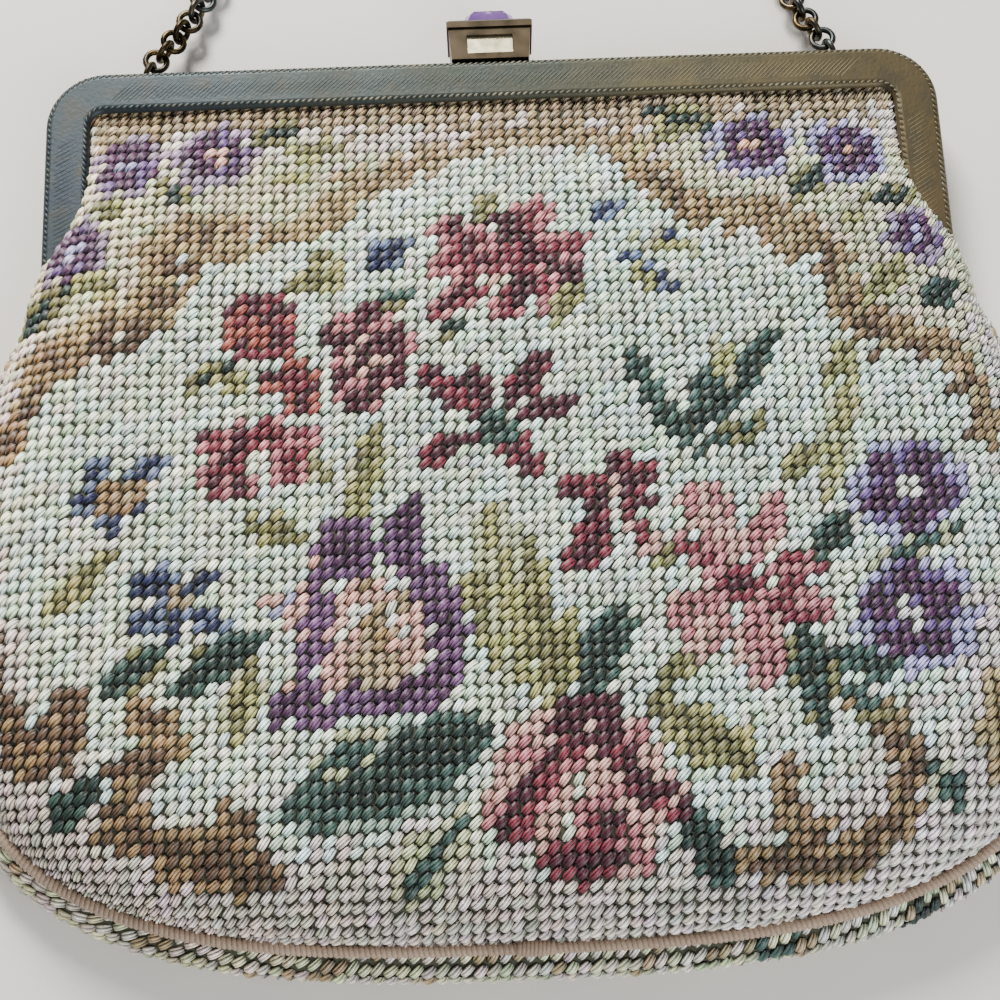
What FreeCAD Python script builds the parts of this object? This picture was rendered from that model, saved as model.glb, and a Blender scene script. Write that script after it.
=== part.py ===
"""Needlework evening bag on a hinged metal purse frame, lying on its back.

+X runs across the bag, +Y from the bag's bottom seam towards the frame's top bar, +Z up
through its thickness, away from the surface that it lies on. Millimetres.
The origin is under the middle of the bag, chain left out, on that surface.
"""
import FreeCAD, Part
import math
import os

V = FreeCAD.Vector
os.makedirs("parts", exist_ok=True)

# Driving dimensions
FRAME_WIDTH = 152.0      # a six inch purse frame
FRAME_RISE = 46.0        # hinge axis to the top edge of the frame
BAR = 7.6                # width of the frame's bar, seen from the front
HALF_DEPTH = 4.5         # front to back, one half of the frame
SHEET = 0.9              # frame metal
SEAM_Z = 7.0             # height of the plane where the halves meet
CORNER = 10.0            # outer corner radius of the frame
SEAM_DROP = 101.5        # hinge axis to the bottom seam
BAG_HALF = 86.0          # half of the bag's widest place, at the seam
FULLEST = -50.0          # where that is, from the hinge axis
SQUARENESS = 3.0         # exponent of the outline below it, 2 for an ellipse
BULGE = 5.0              # how far the back panel wraps past the seam
CROWN_Z = 18.5           # top of the front panel
CLOTH = 2.0              # needlework and its canvas
LINING = 0.6
CLASP_BODY = 6.0         # clasp housing, above the frame
CLASP_LIP = 1.6
STONE_RISE = 3.6
PRESS = 1.2              # travel of the clasp button
LUG_X = 60.0             # chain lugs, each side of the middle
CHAIN_D = 4.8            # outside diameter of the chain's rings
CHAIN_WIRE = 1.0

# Worked out from them
TOP = FRAME_RISE + CLASP_BODY + CLASP_LIP + STONE_RISE
HINGE_Y = (SEAM_DROP + BULGE - TOP) / 2
HALF_W = FRAME_WIDTH / 2
BACK_Z = SEAM_Z - 0.1 - HALF_DEPTH
FRONT_Z = SEAM_Z + 0.1
ARM_END = 4.5            # where the channel of an arm stops, above the hinge axis
INNER_X = HALF_W - BAR
INNER_TOP = FRAME_RISE - BAR


def save(name, solids):
    """Writes one node, moved from hinge coordinates to the origin under the bag."""
    shape = solids[0] if len(solids) == 1 else Part.makeCompound(solids)
    shape = shape.copy()
    shape.translate(V(0, HINGE_Y, 0))
    for solid in shape.Solids:
        if not solid.isValid():
            raise ValueError(name + " is not a valid solid")
    shape.exportStep("parts/" + name + ".step")
    print("%-24s %d solid(s) %9.1f mm3" % (name, len(shape.Solids), shape.Volume))


def box(x0, x1, y0, y1, z0, z1):
    return Part.makeBox(x1 - x0, y1 - y0, z1 - z0, V(x0, y0, z0))


def mirrored(shape):
    return shape.mirror(V(0, 0, 0), V(1, 0, 0))


def rod(radius, length, start, direction):
    return Part.makeCylinder(radius, length, V(*start), V(*direction))


# ---------------------------------------------------------------- frame halves
def arch(inset, foot):
    """A face with the frame's outline, moved in by inset, open side closed at y = foot."""
    x = HALF_W - inset
    top = FRAME_RISE - inset
    r = CORNER - inset
    k = r * math.sqrt(0.5)
    edges = [
        Part.LineSegment(V(-x, foot, 0), V(-x, top - r, 0)).toShape(),
        Part.Arc(V(-x, top - r, 0), V(-x + r - k, top - r + k, 0), V(-x + r, top, 0)).toShape(),
        Part.LineSegment(V(-x + r, top, 0), V(x - r, top, 0)).toShape(),
        Part.Arc(V(x - r, top, 0), V(x - r + k, top - r + k, 0), V(x, top - r, 0)).toShape(),
        Part.LineSegment(V(x, top - r, 0), V(x, foot, 0)).toShape(),
        Part.LineSegment(V(x, foot, 0), V(-x, foot, 0)).toShape(),
    ]
    return Part.Face(Part.Wire(edges))


def slab(face, z0, height):
    solid = face.extrude(V(0, 0, height))
    solid.translate(V(0, 0, z0))
    return solid


def channel(z0, crowned_top):
    """One half of the frame: a three sided arch, C shaped in section, open to the inside."""
    body = slab(arch(0, ARM_END), z0, HALF_DEPTH)
    body = body.cut(slab(arch(BAR, ARM_END - 1), z0 - 1, HALF_DEPTH + 2))
    outer_z = z0 + HALF_DEPTH if crowned_top else z0
    crown = []
    for edge in body.Edges:
        box_ = edge.BoundBox
        flat = abs(box_.ZMin - outer_z) < 1e-4 and abs(box_.ZMax - outer_z) < 1e-4
        if flat and box_.YMax > ARM_END + 1:
            crown.append(edge)
    body = body.makeFillet(1.3, crown)
    hollow = slab(arch(SHEET, ARM_END - 1), z0 + SHEET, HALF_DEPTH - 2 * SHEET)
    return body.cut(hollow)


EAR_R = 3.4
EAR_SHEET = 0.8
BACK_EAR_X = HALF_W - SHEET                     # inner face of the back half's ears
FRONT_EAR_X = BACK_EAR_X - 0.35 - EAR_SHEET     # inner face of the front half's ears
PIN_R = 1.0


def ear(inner_x, sheet, z0, z1, joined_x):
    """A flat ear round the hinge axis, with a tongue into the channel of its arm."""
    disc = rod(EAR_R, sheet, (inner_x, 0, SEAM_Z), (1, 0, 0))
    tongue = box(inner_x, inner_x + sheet, 0, ARM_END + 5, z0, z1)
    foot = box(inner_x, joined_x, ARM_END + 0.5, ARM_END + 5, z0, z1)
    return disc.fuse(tongue).fuse(foot)


back_frame = channel(BACK_Z, False)
front_frame = channel(FRONT_Z, True)
back_ear = ear(BACK_EAR_X, SHEET, BACK_Z + 1.4, BACK_Z + HALF_DEPTH, HALF_W)
front_ear = ear(FRONT_EAR_X, EAR_SHEET, FRONT_Z + 0.9, FRONT_Z + EAR_R - 0.2, BACK_EAR_X)
pin_hole = rod(PIN_R, FRAME_WIDTH + 10, (-HALF_W - 5, 0, SEAM_Z), (1, 0, 0))
loose_hole = rod(PIN_R + 0.06, FRAME_WIDTH + 10, (-HALF_W - 5, 0, SEAM_Z), (1, 0, 0))
for side_ear in (back_ear, mirrored(back_ear)):
    back_frame = back_frame.fuse(side_ear)
for side_ear in (front_ear, mirrored(front_ear)):
    front_frame = front_frame.fuse(side_ear)
save("back_frame", [back_frame.cut(pin_hole).removeSplitter()])
save("front_frame", [front_frame.cut(loose_hole).removeSplitter()])

# ---------------------------------------------------------------- hinge rivets
TAIL_X = FRONT_EAR_X - 0.06


def hinge_rivet():
    shank = rod(PIN_R, HALF_W - TAIL_X, (TAIL_X, 0, SEAM_Z), (1, 0, 0))
    head = rod(2.1, 0.9, (HALF_W, 0, SEAM_Z), (1, 0, 0))
    head = head.makeFillet(0.6, [e for e in head.Edges if e.BoundBox.XMin > HALF_W + 0.5])
    tail = rod(1.7, 0.5, (TAIL_X - 0.5, 0, SEAM_Z), (1, 0, 0))
    return shank.fuse(head).fuse(tail)


save("hinge_pin_right", [hinge_rivet()])
save("hinge_pin_left", [mirrored(hinge_rivet())])
washer = rod(2.6, 0.25, (BACK_EAR_X - 0.3, 0, SEAM_Z), (1, 0, 0))
washer = washer.cut(rod(PIN_R, 2, (BACK_EAR_X - 1, 0, SEAM_Z), (1, 0, 0)))
save("hinge_washers", [washer, mirrored(washer)])

# ---------------------------------------------------------------- channel packing
PACK_IN = 1.6            # paper cord pressed into the channel behind the cloth


def packing(z0):
    """Square paper cord along the channel, clear of its walls."""
    z = z0 + SHEET + 0.3
    deep = HALF_DEPTH - 2 * SHEET - 0.6
    cord = slab(arch(SHEET + 0.2, ARM_END + 6), z, deep)
    return cord.cut(slab(arch(SHEET + 0.2 + PACK_IN, ARM_END + 5), z - 1, deep + 2))


save("back_channel_packing", [packing(BACK_Z)])
save("front_channel_packing", [packing(FRONT_Z)])


# ---------------------------------------------------------------- cloth shells
def half_width(y):
    """Half width of the seam outline, y from the hinge axis; inside the frame above it."""
    if y <= FULLEST:
        t = (FULLEST - y) / (SEAM_DROP + FULLEST)
        return BAG_HALF * max(0.0, 1 - t ** SQUARENESS) ** (1 / SQUARENESS)
    t = (y - FULLEST) / -FULLEST
    return BAG_HALF - 9.5 * t ** 2.2


NECK_X = INNER_X - 0.6   # cloth inside the arms
NECK_TOP = INNER_TOP - 0.6


def outline(z, out, low, top, neck):
    """Closed curve at height z: the bag below the hinge, necked in between the arms.

    out is added to the half width, low and top are the curve's ends, neck is the half
    width between the arms."""
    ring = []
    for turn in (90, 76, 63, 51, 40, 30, 20, 10):
        a = math.radians(turn)
        x = (BAG_HALF + out) * math.cos(a) ** (2 / SQUARENESS)
        y = FULLEST - (-low + FULLEST) * math.sin(a) ** (2 / SQUARENESS)
        ring.append((max(x, 0.0), y))
    for y in (FULLEST, -38.0, -26.0, -17.0):
        ring.append((half_width(y) + out, y))
    ring.append((min(half_width(-9.0) + out, 76.5), -9.5))
    ring.append((neck + 1.6, -5.6))
    for share in (0.0, 0.25, 0.5, 0.72, 0.86):
        ring.append((neck, -2.5 + share * (top + 2.5)))
    ring.append((neck - 3.0, top - 1.2))
    ring.append((neck - 9.0, top))
    ring.append((0.45 * neck, top))
    right = [V(x, y, z) for x, y in ring]
    left = [V(-x, y, z) for x, y in reversed(ring) if x > 0.01]
    curve = Part.BSplineCurve()
    curve.interpolate(Points=right + left, PeriodicFlag=True)
    return Part.Wire([curve.toShape()])


def squeezed(levels, wall, rise):
    """The levels moved in by wall and up by rise."""
    moved = []
    for z, out, low, top, neck in levels:
        moved.append((z + rise, out - wall, low + wall, top - wall, neck - wall))
    return moved


def shell(levels, wall, rise):
    """A lofted bowl through the levels, hollowed by the same bowl moved in and up."""
    outer = Part.makeLoft([outline(*level) for level in levels], True, False)
    hollow = Part.makeLoft([outline(*level) for level in squeezed(levels, wall, rise)], True, False)
    return outer.cut(hollow)


BACK_LEVELS = [
    (0.0, -9.0, -SEAM_DROP + 7.0, NECK_TOP - 9.0, NECK_X - 5.0),
    (0.8, -2.0, -SEAM_DROP - 1.5, NECK_TOP - 5.0, NECK_X - 2.0),
    (3.6, 2.5, -SEAM_DROP - BULGE, NECK_TOP - 1.5, NECK_X),
    (SEAM_Z - 0.15, 0.0, -SEAM_DROP, NECK_TOP, NECK_X),
]
FRONT_LEVELS = [
    (SEAM_Z + 0.15, 0.0, -SEAM_DROP, NECK_TOP, NECK_X),
    (12.4, -2.5, -SEAM_DROP + 3.0, NECK_TOP - 5.0, NECK_X),
    (16.6, -12.0, -SEAM_DROP + 15.0, NECK_TOP - 16.0, NECK_X - 8.0),
    (CROWN_Z, -30.0, -SEAM_DROP + 38.0, NECK_TOP - 34.0, NECK_X - 24.0),
]
LOWER_EDGE = -15.0       # the lower part of the front ends here, the fold begins
UPPER_EDGE = 6.3         # the part that swings with the front frame begins here
FOLD_GAP = 0.3


def piece(shape, y0, y1):
    """The part of a front shell between two places along the bag."""
    return shape.common(box(-110, 110, y0, y1, -1, 30))


def biggest(shape):
    return max(shape.Solids, key=lambda solid: solid.Volume)


save("back_panel", [biggest(shell(BACK_LEVELS, CLOTH, CLOTH))])
front = biggest(shell(FRONT_LEVELS, CLOTH, -CLOTH))
save("front_panel_lower", [biggest(piece(front, -120, LOWER_EDGE))])
save("front_panel_fold", [biggest(piece(front, LOWER_EDGE + FOLD_GAP, UPPER_EDGE - FOLD_GAP))])
save("front_panel_upper", [biggest(piece(front, UPPER_EDGE, 60))])

# Satin lining, just inside the needlework and clear of the piping.
INSET = CLOTH + 0.3
BACK_LINING_LEVELS = [
    (INSET, -9.0 - INSET, -SEAM_DROP + 7.0 + INSET, NECK_TOP - 12.0, NECK_X - 7.0),
    (INSET + 0.8, -2.5 - INSET, -SEAM_DROP - 0.5 + INSET, NECK_TOP - 8.0, NECK_X - 4.3),
    (5.0, -2.9, -SEAM_DROP + 0.4, NECK_TOP - 4.5, NECK_X - 2.6),
    (9.0, -4.5, -SEAM_DROP + 4.0, NECK_TOP - 3.5, NECK_X - 2.6),
]
back_lining = shell(BACK_LINING_LEVELS, LINING, LINING)
back_lining = back_lining.common(box(-110, 110, -120, 60, 0, SEAM_Z - 0.15))
save("back_lining", [biggest(back_lining)])
front_lining = shell(squeezed(FRONT_LEVELS, INSET, -INSET), LINING, -LINING)
front_lining = front_lining.common(box(-110, 110, -120, 60, SEAM_Z + 0.15, 30))
save("front_lining_lower", [biggest(piece(front_lining, -120, LOWER_EDGE))])
save("front_lining_upper", [biggest(piece(front_lining, UPPER_EDGE, 60))])

# ---------------------------------------------------------------- piping on the seam
PIPE_R = 1.1
PIPE_OUT = PIPE_R + 0.15
PIPE_Z = SEAM_Z + 0.9


def seam_route():
    """The seam as a smooth open curve, from one side of the hinge round to the other."""
    points = []
    for y in (-10.5, -17.0, -26.0, -38.0):
        points.append((half_width(y) + PIPE_OUT, y))
    for turn in (0, 10, 20, 30, 40, 51, 63, 76, 90):
        a = math.radians(turn)
        x = (BAG_HALF + PIPE_OUT) * math.cos(a) ** (2 / SQUARENESS)
        y = FULLEST - (SEAM_DROP + PIPE_OUT + FULLEST) * math.sin(a) ** (2 / SQUARENESS)
        points.append((max(x, 0.0), y))
    right = [V(x, y, PIPE_Z) for x, y in points]
    left = [V(-x, y, PIPE_Z) for x, y in reversed(points) if x > 0.01]
    curve = Part.BSplineCurve()
    curve.interpolate(right + left)
    return curve


route = seam_route()
start = route.value(route.FirstParameter)
tangent = route.tangent(route.FirstParameter)[0]
section = Part.Wire([Part.Circle(start, tangent, PIPE_R).toShape()])
piping = Part.Wire([route.toShape()]).makePipeShell([section], True, False)
save("bottom_piping", [piping])

# Where the two ends of the piping are lapped and bound, beside the middle.
JOIN_X = 1.5
binding = rod(PIPE_R + 0.3, 4.0, (JOIN_X - 2, -SEAM_DROP - PIPE_OUT, PIPE_Z), (1, 0, 0))
binding = binding.makeFillet(0.3, [e for e in binding.Edges if e.Length > 8])
binding = binding.cut(rod(PIPE_R + 0.05, 8.0, (JOIN_X - 4, -SEAM_DROP - PIPE_OUT, PIPE_Z), (1, 0, 0)))
save("piping_join", [biggest(binding)])

# ---------------------------------------------------------------- clasp
CLASP_Z0 = SEAM_Z - 4.3
CLASP_Z1 = SEAM_Z + 4.9
FOOT_X = 6.6             # half width of the housing at the frame
HEAD_X = 7.1             # and under its lip
WALL = 0.8
CLASP_Y = FRAME_RISE
LIP_Y = CLASP_Y + CLASP_BODY


def prism(corners, z0, z1):
    points = [V(x, y, z0) for x, y in corners]
    wire = Part.makePolygon(points + points[:1])
    return Part.Face(wire).extrude(V(0, 0, z1 - z0))


housing = prism([(-FOOT_X, CLASP_Y), (FOOT_X, CLASP_Y), (HEAD_X, LIP_Y), (-HEAD_X, LIP_Y)],
                CLASP_Z0, CLASP_Z1)
room = prism([(-FOOT_X + WALL, CLASP_Y + WALL), (FOOT_X - WALL, CLASP_Y + WALL),
              (HEAD_X - WALL, LIP_Y + 1), (-HEAD_X + WALL, LIP_Y + 1)],
             CLASP_Z0 + WALL, CLASP_Z1 - 1.2)
window = box(-3.95, 3.95, CLASP_Y + 1.1, CLASP_Y + 4.6, CLASP_Z1 - 1.0, CLASP_Z1 + 1)
hook_slot = box(-3.6, 3.6, CLASP_Y - 1, CLASP_Y + 5.3, CLASP_Z0 - 1, SEAM_Z + 0.6)
over_back = box(-10, 10, CLASP_Y - 1, CLASP_Y + 0.28, CLASP_Z0 - 1, SEAM_Z + 0.1)
housing = housing.cut(room).cut(window).cut(hook_slot).cut(over_back)
save("clasp_housing", [biggest(housing)])

plate = box(-3.9, 3.9, CLASP_Y + 1.15, CLASP_Y + 4.55, CLASP_Z1 - 1.0, CLASP_Z1 - 0.55)
save("clasp_front_plate", [plate])

MID_Z = (CLASP_Z0 + CLASP_Z1) / 2
BUTTON_X = 5.1
BUTTON_Z = 3.0
lip = box(-7.4, 7.4, LIP_Y, LIP_Y + CLASP_LIP, CLASP_Z0 - 0.35, CLASP_Z1 + 0.35)
lip = lip.makeChamfer(0.5, [e for e in lip.Edges if e.BoundBox.YMin > LIP_Y + CLASP_LIP - 0.01])
lip = lip.cut(box(-BUTTON_X - 0.15, BUTTON_X + 0.15, LIP_Y - 1, LIP_Y + 4,
                  MID_Z - BUTTON_Z - 0.15, MID_Z + BUTTON_Z + 0.15))
save("clasp_lip", [lip])

BEZEL_Y = LIP_Y + 0.2
BEZEL_TOP = LIP_Y + CLASP_LIP + 0.25
bezel = box(-BUTTON_X, BUTTON_X, BEZEL_Y, BEZEL_TOP, MID_Z - BUTTON_Z, MID_Z + BUTTON_Z)
seat = box(-BUTTON_X + 0.3, BUTTON_X - 0.3, BEZEL_TOP - 0.6, BEZEL_TOP + 1,
           MID_Z - BUTTON_Z + 0.3, MID_Z + BUTTON_Z - 0.3)
save("stone_bezel", [bezel.cut(seat)])


def cut_stone():
    """A step cut stone: girdle, steep sides and a flat table."""
    low = BEZEL_TOP - 0.6
    high = LIP_Y + CLASP_LIP + STONE_RISE
    steps = [(low, 4.75, 2.65), (low + 0.9, 4.75, 2.65), (high - 0.9, 4.0, 1.95), (high, 3.4, 1.35)]
    rings = []
    for y, half_x, half_z in steps:
        cut = 0.9
        corners = [(half_x, half_z - cut), (half_x - cut, half_z), (cut - half_x, half_z),
                   (-half_x, half_z - cut), (-half_x, cut - half_z), (cut - half_x, -half_z),
                   (half_x - cut, -half_z), (half_x, cut - half_z)]
        points = [V(x, y, MID_Z + z) for x, z in corners]
        rings.append(Part.makePolygon(points + points[:1]))
    return Part.makeLoft(rings, True, True)


save("clasp_stone", [cut_stone()])

# Plunger: a stem under the bezel, with a wedge that pushes the catch free of the hook.
STEM_Z0 = MID_Z + 0.9
stem = box(-1.5, 1.5, CLASP_Y + 2.6, BEZEL_Y, STEM_Z0, STEM_Z0 + 1.4)
wedge = box(-2.2, 2.2, CLASP_Y + 2.6, CLASP_Y + 3.7, SEAM_Z + 0.8, STEM_Z0 + 1.4)
save("clasp_plunger", [stem.fuse(wedge).removeSplitter()])

# Return springs, drawn at the length that they have when the button is pressed.
springs = []
for x in (-3.9, 3.9):
    coil = rod(1.0, BEZEL_Y - PRESS - CLASP_Y - WALL - 0.2, (x, CLASP_Y + WALL + 0.1, MID_Z + 1.2), (0, 1, 0))
    springs.append(coil.cut(rod(0.65, 20, (x, CLASP_Y, MID_Z + 1.2), (0, 1, 0))))
save("clasp_springs", springs)

# Catch on the back half, standing in the slot of the housing.
post = box(-2.6, 2.6, CLASP_Y, CLASP_Y + 4.6, SEAM_Z - 1.5, SEAM_Z - 0.5)
barb = box(-2.6, 2.6, CLASP_Y + 3.9, CLASP_Y + 4.6, SEAM_Z - 0.5, SEAM_Z + 0.3)
save("catch_hook", [post.fuse(barb).removeSplitter()])

# ---------------------------------------------------------------- chain lugs and end rings
LUG_R = 1.95
LUG_WIRE = 0.45
LUG_Z = BACK_Z + HALF_DEPTH / 2
APEX_Y = FRAME_RISE + 0.55 + LUG_R


def lug(x):
    """A wire staple on the back half's top edge. Its straight top is what the handle swings on."""
    corner = 1.35
    flat = LUG_R - corner
    side_y = APEX_Y - corner
    in_bend = corner * (1 - math.sqrt(0.5))
    path = Part.Wire([
        Part.LineSegment(V(x - LUG_R, FRAME_RISE, LUG_Z), V(x - LUG_R, side_y, LUG_Z)).toShape(),
        Part.Arc(V(x - LUG_R, side_y, LUG_Z), V(x - LUG_R + in_bend, APEX_Y - in_bend, LUG_Z),
                 V(x - flat, APEX_Y, LUG_Z)).toShape(),
        Part.LineSegment(V(x - flat, APEX_Y, LUG_Z), V(x + flat, APEX_Y, LUG_Z)).toShape(),
        Part.Arc(V(x + flat, APEX_Y, LUG_Z), V(x + LUG_R - in_bend, APEX_Y - in_bend, LUG_Z),
                 V(x + LUG_R, side_y, LUG_Z)).toShape(),
        Part.LineSegment(V(x + LUG_R, side_y, LUG_Z), V(x + LUG_R, FRAME_RISE, LUG_Z)).toShape(),
    ])
    wire = Part.Wire([Part.Circle(V(x - LUG_R, FRAME_RISE, LUG_Z), V(0, 1, 0), LUG_WIRE).toShape()])
    return path.makePipeShell([wire], True, False)


RING_R = CHAIN_D / 2 - CHAIN_WIRE / 2
RING_LEAN = 22.0         # towards the middle, from straight up the bag


def end_ring(side):
    """The first ring, standing on edge through its lug and leaning to the middle."""
    lean = math.radians(RING_LEAN)
    along = V(-side * math.sin(lean), math.cos(lean), 0)
    slack = RING_R - LUG_WIRE - CHAIN_WIRE / 2 - 0.14
    centre = V(side * LUG_X, APEX_Y, LUG_Z) + along * slack
    across = V(along.y, -along.x, 0)
    return Part.makeTorus(RING_R, CHAIN_WIRE / 2, centre, across), centre + along * (CHAIN_D / 2)


save("chain_lug_left", [lug(-LUG_X)])
save("chain_lug_right", [lug(LUG_X)])
ring_left, exit_left = end_ring(-1)
ring_right, exit_right = end_ring(1)
save("end_ring_left", [ring_left])
save("end_ring_right", [ring_right])

# ---------------------------------------------------------------- handle chain
LIE_Z = CHAIN_D / 2      # height of the chain's middle where it lies on the surface
CHAIN_ROUTE = [          # from the left end ring to the right one, y from the hinge axis
    (-58.7, 51.6, LUG_Z),
    (-50.5, 62.5, 3.2),
    (-46.5, 79.0, LIE_Z),
    (-50.5, 97.5, LIE_Z),
    (-48.5, 116.5, LIE_Z),
    (-35.5, 131.0, LIE_Z),
    (-17.5, 128.0, LIE_Z),
    (-8.5, 113.0, LIE_Z),
    (-6.5, 96.5, LIE_Z),
    (3.0, 83.0, LIE_Z),
    (19.5, 80.0, LIE_Z),
    (31.5, 91.5, LIE_Z),
    (33.0, 109.0, LIE_Z),
    (39.5, 126.0, LIE_Z),
    (57.0, 131.5, LIE_Z),
    (70.5, 120.0, LIE_Z),
    (70.5, 102.0, LIE_Z),
    (61.5, 86.0, LIE_Z),
    (52.5, 71.5, LIE_Z),
    (53.5, 60.0, 3.4),
    (58.7, 51.6, LUG_Z),
]


def rounded_path(points):
    """Straight runs joined by tangent arcs, each as large as its two runs allow."""
    places = [V(*p) for p in points]
    edges = []
    last = places[0]
    tightest = 1e9
    for before, corner, after in zip(places, places[1:], places[2:]):
        to_before = (before - corner).normalize()
        to_after = (after - corner).normalize()
        run = min((before - corner).Length, (after - corner).Length)
        half_turn = (math.pi - to_before.getAngle(to_after)) / 2
        cut = 0.45 * run
        radius = cut / math.tan(half_turn)
        tightest = min(tightest, radius)
        print("   arc radius %6.1f mm, turn %5.1f degrees" % (radius, 2 * math.degrees(half_turn)))
        first = corner + to_before * cut
        second = corner + to_after * cut
        inward = (to_before + to_after).normalize()
        middle = corner + inward * (radius / math.cos(half_turn) - radius)
        edges.append(Part.LineSegment(last, first).toShape())
        edges.append(Part.Arc(first, middle, second).toShape())
        last = second
    edges.append(Part.LineSegment(last, places[-1]).toShape())
    print("   tightest arc %.1f mm" % tightest)
    return Part.Wire(edges)


chain_path = rounded_path(CHAIN_ROUTE)
first_run = (V(*CHAIN_ROUTE[1]) - V(*CHAIN_ROUTE[0])).normalize()
chain_section = Part.Wire([Part.Circle(V(*CHAIN_ROUTE[0]), first_run, CHAIN_D / 2).toShape()])
chain = chain_path.makePipeShell([chain_section], True, False)
expected = math.pi * (CHAIN_D / 2) ** 2 * chain_path.Length
print("   exits %s %s" % (exit_left, exit_right))
print("   chain length %.1f mm, volume %.1f, section times length %.1f"
      % (chain_path.Length, chain.Volume, expected))
save("handle_chain", [chain])
print("hinge axis at y = %.3f" % HINGE_Y)
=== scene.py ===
import math

import bpy
import numpy as np
from mathutils import Matrix, Vector


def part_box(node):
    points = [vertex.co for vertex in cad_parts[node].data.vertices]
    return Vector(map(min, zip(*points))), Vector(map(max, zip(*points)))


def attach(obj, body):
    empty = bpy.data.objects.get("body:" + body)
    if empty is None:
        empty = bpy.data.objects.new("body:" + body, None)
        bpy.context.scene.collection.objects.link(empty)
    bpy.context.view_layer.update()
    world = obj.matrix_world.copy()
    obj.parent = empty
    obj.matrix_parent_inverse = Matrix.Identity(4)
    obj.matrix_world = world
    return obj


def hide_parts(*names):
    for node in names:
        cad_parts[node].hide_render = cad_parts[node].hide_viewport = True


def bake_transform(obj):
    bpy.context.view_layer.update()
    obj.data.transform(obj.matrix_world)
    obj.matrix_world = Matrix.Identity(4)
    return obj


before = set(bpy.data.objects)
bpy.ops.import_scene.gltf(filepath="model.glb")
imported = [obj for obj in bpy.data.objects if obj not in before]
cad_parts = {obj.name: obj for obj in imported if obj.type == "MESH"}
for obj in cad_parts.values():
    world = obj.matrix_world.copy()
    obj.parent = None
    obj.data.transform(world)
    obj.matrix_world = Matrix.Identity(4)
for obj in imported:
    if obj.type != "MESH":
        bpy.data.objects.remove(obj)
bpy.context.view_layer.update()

# ---------------------------------------------------------------- camera, lamps and table
# The bag lies on its back on a pale table. The camera looks down on it from the bottom end,
# a little rolled, and two broad lamps with a soft room light it.
pin_low, pin_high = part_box("hinge_pin_left")
hinge_y = (pin_low.y + pin_high.y) / 2

camera = bpy.data.objects.new("camera", bpy.data.cameras.new("camera"))
bpy.context.scene.collection.objects.link(camera)
bpy.context.scene.camera = camera
camera.data.sensor_width = 36
camera.data.lens = 68.5
camera.data.clip_start = 0.01
tilt = math.radians(72.5)
side_step = math.radians(1.5)
roll = math.radians(-0.65)
level_look = math.cos(tilt)
looking = Vector((math.sin(side_step) * level_look, math.cos(side_step) * level_look, -math.sin(tilt)))
level_right = Vector((math.cos(side_step), -math.sin(side_step), 0))
level_up = level_right.cross(looking)
right = level_right * math.cos(roll) + level_up * math.sin(roll)
up = level_up * math.cos(roll) - level_right * math.sin(roll)
aim = Vector((-0.0012, hinge_y - 0.0297, 0))
camera_away = 0.3147
eye = aim - looking * camera_away
camera.matrix_world = Matrix((
    (right.x, up.x, -looking.x, eye.x),
    (right.y, up.y, -looking.y, eye.y),
    (right.z, up.z, -looking.z, eye.z),
    (0, 0, 0, 1),
))


def lamp(name, place, aim, power, size, tint):
    light = bpy.data.lights.new(name, "AREA")
    light.energy = power
    light.size = size
    light.color = tint
    holder = bpy.data.objects.new(name, light)
    bpy.context.scene.collection.objects.link(holder)
    holder.location = place
    holder.rotation_euler = (Vector(aim) - Vector(place)).to_track_quat("-Z", "Y").to_euler()


lamp("window_lamp", (-0.16, 0.60, 0.46), (0, 0, 0), 13.6, 0.24, (1.0, 0.99, 0.96))
lamp("side_lamp", (0.30, -0.50, 0.42), (0, 0, 0), 5.5, 0.5, (0.92, 0.97, 1.0))
room = bpy.data.worlds.new("room")
room.use_nodes = True
room.node_tree.nodes["Background"].inputs["Color"].default_value = (0.93, 0.95, 1.0, 1)
room.node_tree.nodes["Background"].inputs["Strength"].default_value = 0.33
bpy.context.scene.world = room


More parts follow.
